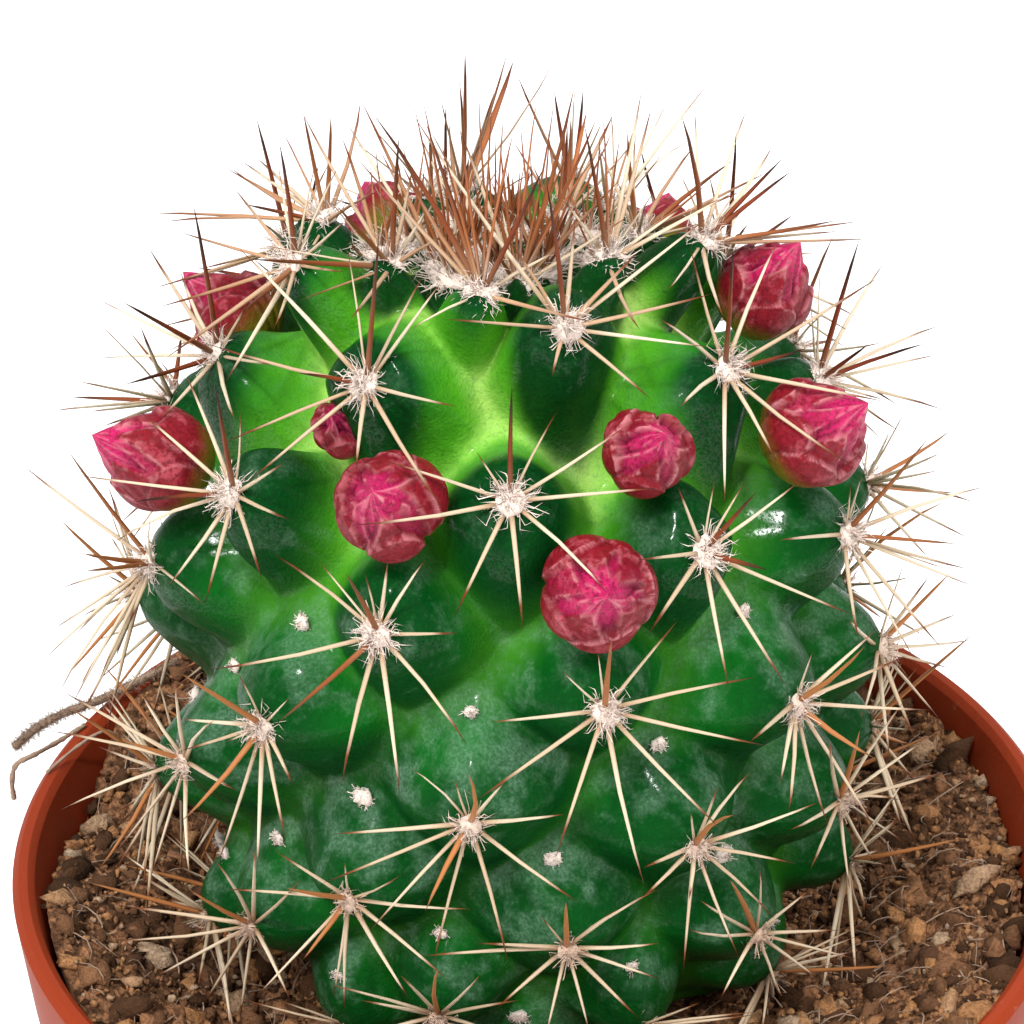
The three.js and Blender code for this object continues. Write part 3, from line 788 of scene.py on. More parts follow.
class CactusPotSettings(bpy.types.PropertyGroup):
    rim_radius: length_setting("Rim radius", "Radius outside the rim", POT_TOP.x / MM)
    base_radius: length_setting("Base radius", "Radius of the base", 30)
    wall: length_setting("Wall", "Thickness of the wall", 1.3)
    lip_width: length_setting("Lip width", "Width of the flat lip", 1.8)
    band_height: length_setting("Band height", "Height of the band under the rim", 9)
    colour: colour_setting("Colour", "Colour of the plastic", (0.26, 0.034, 0.01))


class CactusSoilSettings(bpy.types.PropertyGroup):
    chips: count_setting("Chips", "Number of loose chips", 3600)
    crumbs: count_setting("Crumbs", "Number of fine crumbs", 9000)
    fibres: count_setting("Fibres", "Number of fibres", 900)
    peat: colour_setting("Peat", "Colour of the peat", (0.25, 0.12, 0.06))
    bark: colour_setting("Bark", "Colour of dark bark", (0.44, 0.21, 0.1))
    chip: colour_setting("Chip", "Colour of orange chips", (0.62, 0.3, 0.12))
    pale: colour_setting("Pale", "Colour of pale chips", (0.6, 0.44, 0.3))


class CactusSkinSettings(bpy.types.PropertyGroup):
    pale_lime: colour_setting("Pale lime", "Floors of the young valleys", (0.44, 0.66, 0.15))
    lime: colour_setting("Lime", "Young valleys", (0.09, 0.38, 0.014))
    valley: colour_setting("Valley", "Old valleys", (0.022, 0.14, 0.01))
    flank: colour_setting("Flank", "Flanks of the tubercles", (0.003, 0.105, 0.008))
    shade: colour_setting("Shade", "Caps and undersides", (0.001, 0.03, 0.006))
    # The bloom's colour also paints a sheen on the upper flanks.
    bloom_and_sheen: colour_setting("Wax", "Waxy bloom", (0.34, 0.55, 0.4))


class CactusSpineSettings(bpy.types.PropertyGroup):
    radials: count_setting("Radials", "Spines round a cushion", 11, 3)
    radial_width: length_setting("Radial width", "Thickness of a radial spine", 0.4)
    central_width: length_setting("Central width", "Thickness of a central spine", 0.48)
    cream: colour_setting("Cream", "Radial spines", (0.62, 0.52, 0.38))
    brown: colour_setting("Brown", "Tips of radial spines", (0.16, 0.045, 0.015))
    red_brown: colour_setting("Red brown", "Central spines", (0.16, 0.03, 0.009))
    copper: colour_setting("Copper", "Crown spines", (0.36, 0.12, 0.045))


class CactusWoolSettings(bpy.types.PropertyGroup):
    hairs: count_setting("Hairs", "Hairs on a cushion", 150)
    hair_length: length_setting("Hair length", "Length of the longest hairs", 2.3)
    colour: colour_setting("Colour", "Young wool", (0.86, 0.72, 0.63))


class CactusBudSettings(bpy.types.PropertyGroup):
    petals: count_setting("Petals", "Petals that show on a bud", 14, 3)
    outer: colour_setting("Outer", "Outer petals", (0.18, 0.006, 0.013))
    inner: colour_setting("Inner", "Inner petals", (0.42, 0.01, 0.09))
    dust: colour_setting("Dust", "Dusty bloom", (0.45, 0.085, 0.11))
    # Pale petal edges, and the painted highlight on the tip's folds.
    margin: colour_setting("Margin", "Petal edges", (0.6, 0.24, 0.26))
    base: colour_setting("Base", "Bottom of the bud", (0.13, 0.12, 0.008))


class CactusStageSettings(bpy.types.PropertyGroup):
    floor: colour_setting("Floor", "Colour of the floor", (0.9, 0.9, 0.9))
    key_power: power_setting("Key", "Key light", 5.6)
    fill_power: power_setting("Fill", "Fill light", 3.2)
    back_power: power_setting("Back", "Back light", 2)
    glint_power: power_setting("Glint", "Small light that the gloss mirrors", 1.5)


# ---- Pot and soil ---------------------------------------------------------------------------

POT_SIDES = 192
POT_FLOOR = 2
POT_EDGE = 0.55
POT_BEVEL = 0.35
BAND_STEP = 1.6
RIM_FLARE = 0.8
SHARP_EDGE = math.radians(35)
DRAIN_HOLES = 6
DRAIN_SIDES = 32
DRAIN_RADIUS = 2.6
DRAIN_CIRCLE = 18
FIRST_DRAIN_HOLE = math.radians(15)
# Points this far within the outer line are inside, where the dirt and the painted shade fade in
# over a depth.
INSIDE_BY = 1.2
DIRT_AND_SHADE_FADE_IN = 9


def pot_profile(sizes):
    """The pot's profile from its base up the outside, over the lip and down inside."""
    rim, base, wall, lip, band = (
        size / MM for size in
        (sizes.rim_radius, sizes.base_radius, sizes.wall, sizes.lip_width, sizes.band_height)
    )
    band_bottom = RIM_LEVEL - band
    shoulder = rim - RIM_FLARE - BAND_STEP
    return [
        (base - POT_EDGE, 0), (base, POT_EDGE), (shoulder, band_bottom - BAND_STEP / 2),
        (rim - RIM_FLARE, band_bottom), (rim, RIM_LEVEL - POT_EDGE),
        (rim - POT_EDGE, RIM_LEVEL), (rim - lip + POT_EDGE, RIM_LEVEL),
        (rim - lip, RIM_LEVEL - POT_EDGE), (shoulder - wall, band_bottom),
        (base - wall, POT_FLOOR),
    ]


class CACTUS_OT_pot(bpy.types.Operator):
    """Models the nursery pot with its rim band and drainage holes"""
    bl_idname = "cactus.pot"
    bl_label = "Pot"

    def execute(self, context):
        sizes = context.scene.cactus_pot
        pot = extruded_round(POT_SIDES, pot_profile(sizes))
        drill = self.model_drill(context)
        apply_modifier(pot, "BOOLEAN", operation="DIFFERENCE", object=drill, solver="EXACT")
        bpy.data.objects.remove(drill)
        apply_modifier(pot, "BEVEL", width=POT_BEVEL * MM, segments=3, limit_method="ANGLE")
        points = points_of(pot) / MM
        radius = np.hypot(points[:, 0], points[:, 1])
        ends = (sizes.base_radius / MM, sizes.rim_radius / MM)
        line = np.interp(points[:, 2], (0, RIM_LEVEL), ends)
        low = smoothstep(0, DIRT_AND_SHADE_FADE_IN, RIM_LEVEL - points[:, 2])
        mark(pot, inside=(radius < line - INSIDE_BY) * low)
        finish_piece(pot, "nursery_pot", pot_finish(sizes.colour), "pot")
        select_only(pot)
        bpy.ops.object.shade_smooth_by_angle(angle=SHARP_EDGE)
        return {"FINISHED"}

    def model_drill(self, context):
        """One object of all the cylinders that the drainage holes are cut with."""
        drills = []
        for hole in range(DRAIN_HOLES):
            angle = TURN * hole / DRAIN_HOLES + FIRST_DRAIN_HOLE
            centre = (DRAIN_CIRCLE * MM * math.cos(angle), DRAIN_CIRCLE * MM * math.sin(angle), 0)
            drills.append(fresh(
                bpy.ops.mesh.primitive_cylinder_add, vertices=DRAIN_SIDES,
                radius=DRAIN_RADIUS * MM, depth=4 * POT_FLOOR * MM, location=centre,
            ))
        for drill in drills:
            drill.select_set(True)
        context.view_layer.objects.active = drills[0]
        bpy.ops.object.join()
        return context.object


def inner_radius(sizes, height):
    """The pot's inner radius at a height."""
    profile = pot_profile(sizes)
    floor, shoulder, rim = profile[-1], profile[-2], profile[-3]
    return np.interp(height, [floor[1], shoulder[1], rim[1]], [floor[0], shoulder[0], rim[0]])


# Heaps and hollows in the soil: x, y, spread and height in millimetres.
SOIL_LUMPS = (
    (-29, 24, 6, 5.6), (-35, 18, 5, 3.4), (-27.5, 10.5, 3.6, -4), (-22.5, -6, 4, -4),
    (-38, -9, 10, 3.4), (35, 16, 7, 1.8), (26, -8, 4, -1.5), (33, 0, 6, 1.6),
)
# The soil rises by SOIL_BANK between two radii, and is rough by clods and crumbs of two sizes.
SOIL_BANK = 3.6
BANK_RADII = (25, 39)
SOIL_ROUGHNESS = 0.9
CLOD_SIZE = 5.0
CRUMB_SIZE = 1.1
# Room between the soil's mesh and the pot's wall and floor.
WALL_GAP = 0.25
FLOOR_GAP = 0.5
BED_TINT = 0.5
# Where loose bits lie: from a radius under the plant out to a gap from the wall. Those on the
# bank move out by a share, as the wall does.
LOOSE_FROM = 15
LOOSE_GAP = 0.4
LOOSE_OUT = 0.03
# Chips: the smallest, how much larger the largest is, and how rare large ones are.
CHIP_SIZES = (0.35, 1.35, 4.5)
CHIP_ROUGHNESS = 0.3
CHIP_TILT = 0.8
CRUMB_SIZES = (0.22, 0.62)
CRUMB_ROUGHNESS = 0.25
FIBRE_STATIONS = [(0, 1), (0.25, 1), (0.5, 0.9), (0.75, 0.8), (1, 0.3)]
FIBRE_LENGTHS = (1.2, 5)
FIBRE_RADII = (0.035, 0.09)
FIBRE_GAP = 0.8


def soil_top(points):
    """Height of the soil's rough top over points, in millimetres."""
    flat = np.column_stack([points[:, :2], np.zeros(len(points))])
    clods = noise_at(flat, CLOD_SIZE, 3, 4)
    crumbs = noise_at(flat, CRUMB_SIZE, 9, 4)
    height = SOIL_LEVEL + SOIL_ROUGHNESS * clods + SOIL_ROUGHNESS * np.abs(crumbs)
    height += SOIL_BANK * smoothstep(*BANK_RADII, np.hypot(flat[:, 0], flat[:, 1]))
    for x, y, spread_out, lump in SOIL_LUMPS:
        away = np.hypot(flat[:, 0] - x, flat[:, 1] - y) / spread_out
        height += lump * np.exp(-(away**2))
    return height


class CACTUS_OT_soil(bpy.types.Operator):
    """Models the soil, with its rough top and the plain hole for the plant's neck"""
    bl_idname = "cactus.soil"
    bl_label = "Soil"

    around = 460
    rows = 120
    # Shares of the rows between which the top starts at the wall and ends at the hole.
    top_starts = (0.13, 0.15)
    top_ends = (0.925, 0.94)

    def execute(self, context):
        settings, pot = context.scene.cactus_soil, context.scene.cactus_pot
        wall = inner_radius(pot, SOIL_LEVEL) - WALL_GAP
        floor = inner_radius(pot, POT_FLOOR) - FLOOR_GAP
        hole = NECK_RADIUS + 0.3
        hole_floor = SOIL_LEVEL - NECK_DEPTH - 1
        # Stations down the profile: share of the rows, radius, height.
        stations = np.array([
            (0, 0.02, POT_FLOOR + 0.3), (0.05, floor, POT_FLOOR + 0.3),
            (0.12, wall - 0.3, SOIL_LEVEL - 1.5), (0.14, wall, SOIL_LEVEL),
            (0.93, hole, SOIL_LEVEL), (0.96, hole, hole_floor), (1, 0.02, hole_floor),
        ])
        soil, share = wrapped_grid(self.around, self.rows)
        radius, height = (np.interp(share[:, 1], stations[:, 0], stations[:, i]) for i in (1, 2))
        angle = TURN * share[:, 0]
        centred = smoothstep(0.14, 0.9, share[:, 1])
        points = polar(radius, angle, height)
        points[:, :2] += centred[:, None] * np.array(AXIS_AT_SOIL)
        top = smoothstep(*self.top_starts, share[:, 1])
        top = top * (1 - smoothstep(*self.top_ends, share[:, 1]))
        points[:, 2] += top * (soil_top(points) - SOIL_LEVEL)
        # The soil's edge follows the wall, which is wider above.
        risen = inner_radius(pot, points[:, 2]) - WALL_GAP
        out = (points[:, 2] > SOIL_LEVEL - 2) * smoothstep(NECK_RADIUS, wall, radius)
        points[:, :2] *= (1 + out * (risen / wall - 1))[:, None]
        move_points(soil, points * MM)
        mark(soil, tint=np.full(len(points), BED_TINT), chip=np.zeros(len(points)))
        close_grid()
        finish = soil_finish(settings)
        finish_piece(soil, "soil_bed", finish, "soil")
        self.scatter_chips(settings.chips, finish, wall)
        self.scatter_crumbs(settings.crumbs, finish, wall)
        self.lay_fibres(settings.fibres, wall)
        return {"FINISHED"}

    def spots(self, random, count, wall):
        """Random places on the open ring of soil, and the soil's height there."""
        radius = np.sqrt(random.uniform(LOOSE_FROM**2, (wall - LOOSE_GAP) ** 2, count))
        angle = random.uniform(0, TURN, count)
        places = polar(radius, angle, 0)
        places[:, 2] = soil_top(places)
        places[:, :2] *= 1 + LOOSE_OUT * smoothstep(BANK_RADII[0], wall, radius)[:, None]
        return places

    def scatter_chips(self, count, finish, wall):
        """Bark chips and clods, pressed into the soil at all angles."""
        random = np.random.default_rng(21)
        fresh(bpy.ops.mesh.primitive_cube_add, size=1)
        in_edit_mode(lambda: bpy.ops.mesh.subdivide(number_cuts=1, smoothness=0.6))
        shape = take_shape()
        smallest, larger, rarity = CHIP_SIZES
        size = smallest + larger * random.random(count) ** rarity
        stretch = np.column_stack([
            random.uniform(0.9, 1.8, count), random.uniform(0.7, 1.2, count),
            random.uniform(0.5, 0.95, count),
        ])
        stretch /= np.cbrt(stretch.prod(1))[:, None]
        local = shape[0][None] * (size[:, None] * stretch)[:, None]
        local = local * (1 + CHIP_ROUGHNESS * random.standard_normal(local.shape))
        tilt = random.normal(0, CHIP_TILT, (count, 2))
        turns = np.array([
            Matrix.Rotation(spin, 3, "Z") @ Matrix.Rotation(nod, 3, "X")
            @ Matrix.Rotation(roll, 3, "Y")
            for spin, (nod, roll) in zip(random.uniform(0, TURN, count), tilt)
        ])
        local = np.einsum("nij,nvj->nvi", turns, local)
        places = self.spots(random, count, wall)
        places[:, 2] += 0.1 * size
        chips = copies("soil_chips", shape, local + places[:, None])
        self.finish_bits(chips, "soil_chips", random.random(count) ** 1.3, shape, finish)

    def scatter_crumbs(self, count, finish, wall):
        """Fine crumbs of peat between the chips."""
        random = np.random.default_rng(22)
        fresh(bpy.ops.mesh.primitive_ico_sphere_add, subdivisions=1, radius=0.5)
        shape = take_shape()
        size = random.uniform(*CRUMB_SIZES, count)[:, None, None]
        local = shape[0][None] * size * random.uniform(0.55, 1.7, (count, 1, 3))
        local = local * (1 + CRUMB_ROUGHNESS * random.standard_normal(local.shape))
        places = self.spots(random, count, wall)
        places[:, 2] += random.uniform(0, 0.35, count)
        crumbs = copies("soil_crumbs", shape, local + places[:, None])
        self.finish_bits(crumbs, "soil_crumbs", random.random(count), shape, finish)

    def finish_bits(self, bits, name, tints, shape, finish):
        """Marks loose bits with their tints and as chips, and finishes them."""
        mark(bits, tint=spread(tints, shape), chip=spread(np.ones(len(tints)), shape))
        finish_piece(bits, name, finish)

    def lay_fibres(self, count, wall):
        """Thin peat and root fibres on top."""
        random = np.random.default_rng(5)
        shape = model_needle(4, FIBRE_STATIONS)
        roots = self.spots(random, count, wall)
        heading = random.uniform(0, TURN, count)
        length = random.uniform(*FIBRE_LENGTHS, count)
        tips = roots + polar(length, heading, random.uniform(-0.2, 0.9, count))
        radius = np.hypot(tips[:, 0], tips[:, 1])
        tips[:, :2] *= np.minimum(1, (wall - FIBRE_GAP) / radius)[:, None]
        tips[:, 2] = soil_top(tips) + random.uniform(0.1, 0.8, count)
        roots[:, 2] += 0.15
        bends = random.normal(0, 0.4, (count, 3)) + (0, 0, 0.25)
        widths = random.uniform(*FIBRE_RADII, count)
        fibres = plant_needles("soil_fibres", shape, roots, tips, widths, bends)
        finish_piece(fibres, "soil_fibres", twig_finish())


# ---- Stem -----------------------------------------------------------------------------------

class CACTUS_OT_stem(bpy.types.Operator):
    """Models the stem's skin, from the crown's middle to the neck in the soil"""
    bl_idname = "cactus.stem"
    bl_label = "Stem"

    around = 400
    skin_rows = 228
    tail_rows = 12
    # Young tubercles are knobs: their sides are steep between these shares of the height.
    knob = (0.22, 0.86)
    # Rows start this far above the first tubercle, and are spaced by a finer line of samples.
    starts_above = 1.8
    samples = 2000
    # Lumps in the skin: size and height in millimetres.
    coarse_lumps = (5, 0.16)
    fine_lumps = (0.9, 0.03)
    # Rows of the tail that lie in the soil, and how far the stem sags over the neck.
    buried_rows = 4
    sag = 1.2

    def knobbed(self, index):
        """How far the tubercles at an index are knobs and not cones."""
        return 0.75 - 0.45 * smoothstep(-2, 14, index)

    def row_indices(self):
        """Indices at even distances down the skin."""
        fine = np.linspace(TOP_INDEX - self.starts_above, BOTTOM_INDEX, self.samples)
        radius, height = straight_point(fine, 0)
        steps = np.hypot(np.diff(radius), np.diff(height))
        run = np.concatenate([[0], np.cumsum(steps)])
        return np.interp(np.linspace(0, run[-1], self.skin_rows), run, fine)

    def execute(self, context):
        rows = self.skin_rows + self.tail_rows
        stem, share = wrapped_grid(self.around, rows - 1)
        column = np.round(share[:, 0] * self.around).astype(int)
        row = np.round(share[:, 1] * (rows - 1)).astype(int)
        angle = TURN * np.arange(self.around + 1) / self.around
        index = self.row_indices()
        places = np.empty((rows, self.around + 1, 3))
        tip, cap, low, age = (np.zeros((rows, self.around + 1)) for _ in range(4))
        for i, here in enumerate(index):
            core_radius, core_height = straight_point(here, 0)
            core = polar(core_radius, angle, core_height)
            tip[i], cap[i], low[i], nudge = TUBERCLES.read(core)
            knob = smoothstep(*self.knob, tip[i])
            swell = tip[i] + self.knobbed(here) * (knob - tip[i])
            radius, height = straight_point(here, outline(here)[4] * swell)
            places[i] = onto_axis(radius, angle, height) + nudge
            age[i] = here
        places[0] = places[0].mean(0)
        self.add_tail(places, angle)
        for values in (tip, cap):
            values[self.skin_rows:] = values[self.skin_rows - 1]
        age[self.skin_rows:] = BOTTOM_INDEX
        places[:, -1] = places[:, 0]
        points = places[row, column]
        outward = unit(points - points.mean(0))
        (coarse_size, coarse_height), (fine_size, fine_height) = self.coarse_lumps, self.fine_lumps
        coarse = coarse_height * noise_at(points, coarse_size, 1, 2)
        fine = fine_height * noise_at(points, fine_size, 2, 2)
        # The crown's middle and the seam keep only the coarse lumps, so that they close.
        on_seam = (row == 0) | (column % self.around == 0)
        lumps = np.where(on_seam, coarse, coarse + fine)
        points = points + outward * lumps[:, None]
        move_points(stem, points * MM)
        mark(
            stem, tip=tip[row, column], cap=cap[row, column], low=low[row, column],
            age=age[row, column],
        )
        close_grid()
        finish = skin_finish(context.scene.cactus_skin)
        finish_piece(stem, "cactus_body", finish, "cactus_stem")
        return {"FINISHED"}

    def add_tail(self, places, angle):
        """Rows from the lowest tubercles in to the neck, down into the soil and shut."""
        start = self.skin_rows
        last = places[start - 1]
        neck_steps = self.tail_rows - self.buried_rows
        above = SOIL_LEVEL + 0.6
        circle = polar(NECK_RADIUS, angle, above) + (*AXIS_AT_SOIL, 0)
        for step in range(neck_steps):
            share = (step + 1) / neck_steps
            places[start + step] = last + (circle - last) * share
            places[start + step, :, 2] -= self.sag * math.sin(math.pi * share) * (1 - share)
        foot = SOIL_LEVEL - NECK_DEPTH
        for step, (radius, height) in enumerate([
            (NECK_RADIUS - 0.5, SOIL_LEVEL - 3), (NECK_RADIUS - NECK_TAPER, foot),
            (4, foot - 0.3), (0.0, foot - 0.4),
        ]):
            places[start + neck_steps + step] = polar(radius, angle, height) + (*AXIS_AT_SOIL, 0)


# ---- Camera of the photograph ---------------------------------------------------------------

CAMERA_TILT = 0.546
CAMERA_DISTANCE = 269.0
CAMERA_TARGET = np.array([-1.63, 0, 30.75 + RIM_LEVEL])
CAMERA_ROLL = -0.0167
FOCAL_PIXELS = 3504.69
PHOTO_SIZE = 1024
SENSOR = 36


def camera_axes():
    """The camera's place, and its right, up and forward directions."""
    backwards = np.array([0, -math.cos(CAMERA_TILT), math.sin(CAMERA_TILT)])
    place = CAMERA_TARGET + CAMERA_DISTANCE * backwards
    forward = unit(CAMERA_TARGET - place)
    level = unit(np.cross(forward, (0, 0, 1)))
    upright = np.cross(level, forward)
    c, s = math.cos(CAMERA_ROLL), math.sin(CAMERA_ROLL)
    return place, c * level + s * upright, c * upright - s * level, forward


# ---- Spines ---------------------------------------------------------------------------------

# Where the camera sees the ends of the front spines, by tubercle: x and y in the photograph's
# frame, with c for a central spine, t for a thin one and k for a broad crown spine.
SPINE_ENDS = {
    0: "512,385c 380,459 353,525 454,618 523,632 608,594 659,488 626,426 559,408t 476,451t",
    8: "206,670 272,553 318,560t 345,572c 364,571t 388,560 425,560 460,633 468,747 400,797 "
       "341,788 275,725c",
    16: "180,673c 180,719 180,751 237,672t 289,698t 180,823c 217,866 257,874 286,842 293,786 "
        "226,742t",
    21: "333,834 321,884 368,933 425,912c 432,969 509,967 581,904 566,814 504,783 410,768t "
        "455,779t 468,773c",
    13: "489,722 563,672t 598,652t 612,638c 679,619 758,677 474,802 555,860 645,888 723,831 "
        "769,746",
    29: "223,889 286,888c 275,851 302,961c 253,1000 333,1000 345,1015 410,1000 449,981 471,909 "
        "402,874t 345,862t",
    34: "477,943 422,956 660,888 620,908t 660,943 660,979 640,1020 590,1035 545,1040 495,1010 "
        "540,915t 566,902c",
    5: "678,487 715,480t 746,480t 757,491c 801,480 768,570c 857,617 788,689 729,689 648,635 "
       "636,560",
    18: "876,630 865,646c 813,651t 908,655 932,710 876,759c 879,836 828,826 788,817 780,785 "
        "750,742",
    26: "643,868 640,900 691,812t 718,785 750,772 734,815c 821,801 797,864 689,900 776,920 "
        "740,960 683,975",
    -5: "379,234c 346,241t 442,281 425,272 238,247 205,343 297,373c 220,445 246,484 356,471 "
        "459,407 445,512",
    -8: "546,180c 575,220 712,214 715,293 709,347 445,319 552,377 652,400 410,110 505,235 "
        "640,250",
    -3: "733,245c 779,239 660,319 681,407 777,463 853,466 887,402 807,348c 882,275 690,245 "
        "725,505",
    -13: "355,156 372,112c 400,160 425,120c 440,140k 459,120k 492,101k 515,125k 545,165c "
         "592,322 410,330t 560,250",
    -21: "575,84c 598,115k 555,95k 538,93k 500,140k 460,130 620,180 600,150k 500,200t 570,150k "
         "525,160k 630,215",
    -15: "303,111c 331,113c 282,130t 230,167 224,167 243,204c 256,157 240,160 146,213 160,222 "
         "262,310t 361,98 380,190",
    -18: "247,259c 302,112 335,204c 399,135c 262,245t 300,300t 413,165 430,205 452,232 350,320",
    -16: "584,123c 603,114k 652,105 642,88 615,190t 563,200 685,206 738,190 640,330",
    -11: "681,114c 695,110 747,108 774,144 784,157c 793,170c 738,190t 839,220c 863,221 842,231 "
         "870,239 724,318 668,290t",
    -2: "193,202c 147,245 121,301c 97,299 98,358 123,385c 160,420 250,300 180,270 235,420 "
        "275,365",
    3: "139,411 185,372 240,410t 75,475 134,502c 284,463 110,545 165,590 205,605 262,580 "
       "290,520 215,385c",
    6: "76,381 69,397c 50,411 87,412 101,427 95,320t 118,440t 182,330c 140,325",
    11: "20,463 67,449c 59,589 81,553c 51,631 73,637 44,660 57,697 71,707 84,571c 99,681 "
        "128,627 150,520t 205,605t",
    24: "60,690 45,730 60,810 110,860 150,880 190,880 140,690 175,680 215,720 120,740c 235,790",
    37: "115,905 110,940 150,980 200,1010 240,1020 290,1000 215,860 255,850 300,880 190,890c",
    2: "860,237c 885,261 927,343c 941,325 940,354 869,344c 947,411 811,303t 820,270t 846,290t "
       "885,400 850,425",
    15: "951,430c 957,493c 977,503 943,452 890,430 905,410t 940,470 868,440t 972,540 930,560",
    10: "929,437c 959,544c 988,486 972,570 975,587 859,642 916,662 943,650 778,540 862,475t "
        "850,482t 952,571t",
    23: "952,571c 930,575 959,613 972,640 950,668 940,720 915,740 890,760 860,720 850,620 "
        "905,560t",
    31: "905,700 925,740 950,770 900,800 880,870 850,890 810,870 790,830 830,740 860,730c",
    39: "700,900 690,930 720,1000 780,1000 820,980 840,930 810,890 760,870t 730,880c 860,960",
    42: "360,1000 350,1035 400,975 438,968c 480,975 520,1000 500,1035 330,985",
    -17: "465,48c 459,78 508,50 495,90 430,130t 440,96t 555,60t",
    -9: "516,72 583,88c 554,89c 575,84t 603,120t",
    -26: "413,100k 422,96k 400,140k 445,160k 470,150k 434,150k 455,190 430,215 485,170k",
    -31: "360,98 345,120 380,150 415,180k 428,130k 405,200",
    -29: "565,120k 550,130k 585,160k 530,150k 520,120k 560,200k 575,185k 540,170k 510,190",
    -34: "479,90k 495,130k 510,150k 470,170k 520,180k 488,150k 504,110k 530,190k 455,180k",
    -23: "341,135 370,160t 400,170k 330,200t 350,240",
    -28: "395,150k 425,140k 440,190t 370,200t",
    -12: "352,140t 372,128t 430,130 455,150t 440,165",
    -14: "640,112t 668,100t 610,110t 690,140t 600,150",
    -20: "372,180t 440,190t 425,165k 350,215t",
    -24: "620,135k 640,170 655,190t 625,215",
    -27: "710,81 685,111 665,150t 600,130k",
}
# The usual lifts of spines out of the cushion's plane, and the longest that one grows.
RADIAL_LIFT = math.radians(17)
CENTRAL_LIFT = math.radians(50)
SPINE_LONGEST = 13.6
# How closely the line of sight is searched for a spine's end.
SEARCH_REACH = 14
SEARCH_STEPS = 281
# What a millimetre too long, and a millimetre inside a bud, count for against a radian of lift.
TOO_LONG = 2.0
IN_BUD = 3.0
# Aims that a spine tries so as to miss the buds: degrees more of lift, and what each step costs.
EXTRA_LIFTS = np.arange(0, 75, 5)
LIFT_COST = 0.02
BUD_GAP = 0.25


def bud_place(above, across, up, out, lean_round, lean_up):
    """Where a bud's middle is, in millimetres, and the way it points."""
    radius, height, away_r, away_z, _ = (float(v) for v in outline(above - AXIL_UP))
    angle = spiral_angle(above) - row_turn(AXIL_ROW) / 2 + across / radius

    def at(lift, climb, turn=0.0):
        """A point at a lift from the skin's line, a climb along it and a turn round the stem."""
        return onto_axis(
            radius + lift * away_r - climb * away_z, angle + turn,
            height + lift * away_z + climb * away_r,
        )

    middle = at(out, up)
    outward, upward, sideways = (
        unit(point - middle) for point in (at(out + 1, up), at(out, up + 1), at(out, up, 0.01))
    )
    tilt = math.tan(math.radians(lean_round)) * sideways + math.tan(math.radians(lean_up)) * upward
    return middle, unit(outward + tilt)


def bud_balls():
    """The middles and half widths of the buds."""
    middles = np.array([bud_place(*bud[:6])[0] for bud in BUDS])
    return middles, np.array([bud[6] / 2 for bud in BUDS])


BUD_BALLS = bud_balls()


def into_buds(start, ends):
    """How deep the straight ways from a start to many ends pass into the buds, in millimetres."""
    middles, radii = BUD_BALLS
    run = ends - start
    share = np.einsum("ek,bk->eb", run, middles - start) / (run**2).sum(1)[:, None]
    nearest = start + run[:, None] * np.clip(share, 0, 1)[..., None]
    gap = np.linalg.norm(nearest - middles, axis=2)
    return np.maximum(0, radii + BUD_GAP - gap).sum(1)


SPINE_STATIONS = [(0, 1.0), (0.12, 0.98), (0.45, 0.82), (0.8, 0.48), (1, 0.0)]
# Spines lengthen with age between two indices, from a least share.
GROWS_FROM = -38
GROWN_AT = -16
LEAST_GROWN = 0.45
# Radial spines: length above, how much longer below, and how many fewer grow on the crown.
RADIAL_LENGTH = 7.4
RADIAL_LONGER = 4.6
FEWER_ON_CROWN = 5
# Central spines: length, how often there is a second, and where round the cushion they stand.
CENTRAL_LENGTH = 10.4
SECOND_CENTRAL = 0.7
CENTRAL_CLOCKS = (0.0, math.pi * 0.8)
# Crown spines: a tubercle has the number of the first entry whose index it is below.
CROWN_ENDS = -16
CROWN_COUNTS = ((-28, 12), (-20, 3), (CROWN_ENDS, 1))
CROWN_LENGTHS = (7, 12)
CROWN_LIFTS = (56, 86)
CROWN_RADIUS = 0.36
# How flat the spines of each kind are: their second width as a share of the first.
RADIAL_FLAT, CENTRAL_FLAT, CROWN_FLAT = 0.8, 0.9, 0.35
# Where a spine starts: along its aim, and in under the cushion.
ROOT_OUT = 0.25
ROOT_IN = 0.35
SPINE_BOW = 0.02


def spine_share(index):
    """Share of its full length that a spine has on a young tubercle."""
    return np.clip((index - GROWS_FROM) / (GROWN_AT - GROWS_FROM), LEAST_GROWN, 1)


def seen_end(n, u, v, lift):
    """The way from tubercle n to a spine's end on the line of sight through (u, v)."""
    place, right, up, forward = camera_axes()
    half = PHOTO_SIZE / 2
    sight = unit(forward * FOCAL_PIXELS + right * (u - half) - up * (v - half))
    tip, outward = TUBERCLES.tip[n], TUBERCLES.outward[n]
    nearest = (tip - place) @ sight
    search = np.linspace(nearest - SEARCH_REACH, nearest + SEARCH_REACH, SEARCH_STEPS)
    ends = place + sight * search[:, None]
    reach = ends - tip
    length = np.linalg.norm(reach, axis=1)
    fault = abs(np.arcsin(np.clip(reach @ outward / length, -1, 1)) - lift)
    fault += TOO_LONG * np.maximum(0, length - SPINE_LONGEST) + IN_BUD * into_buds(tip, ends)
    return ends[np.argmin(fault)] - tip


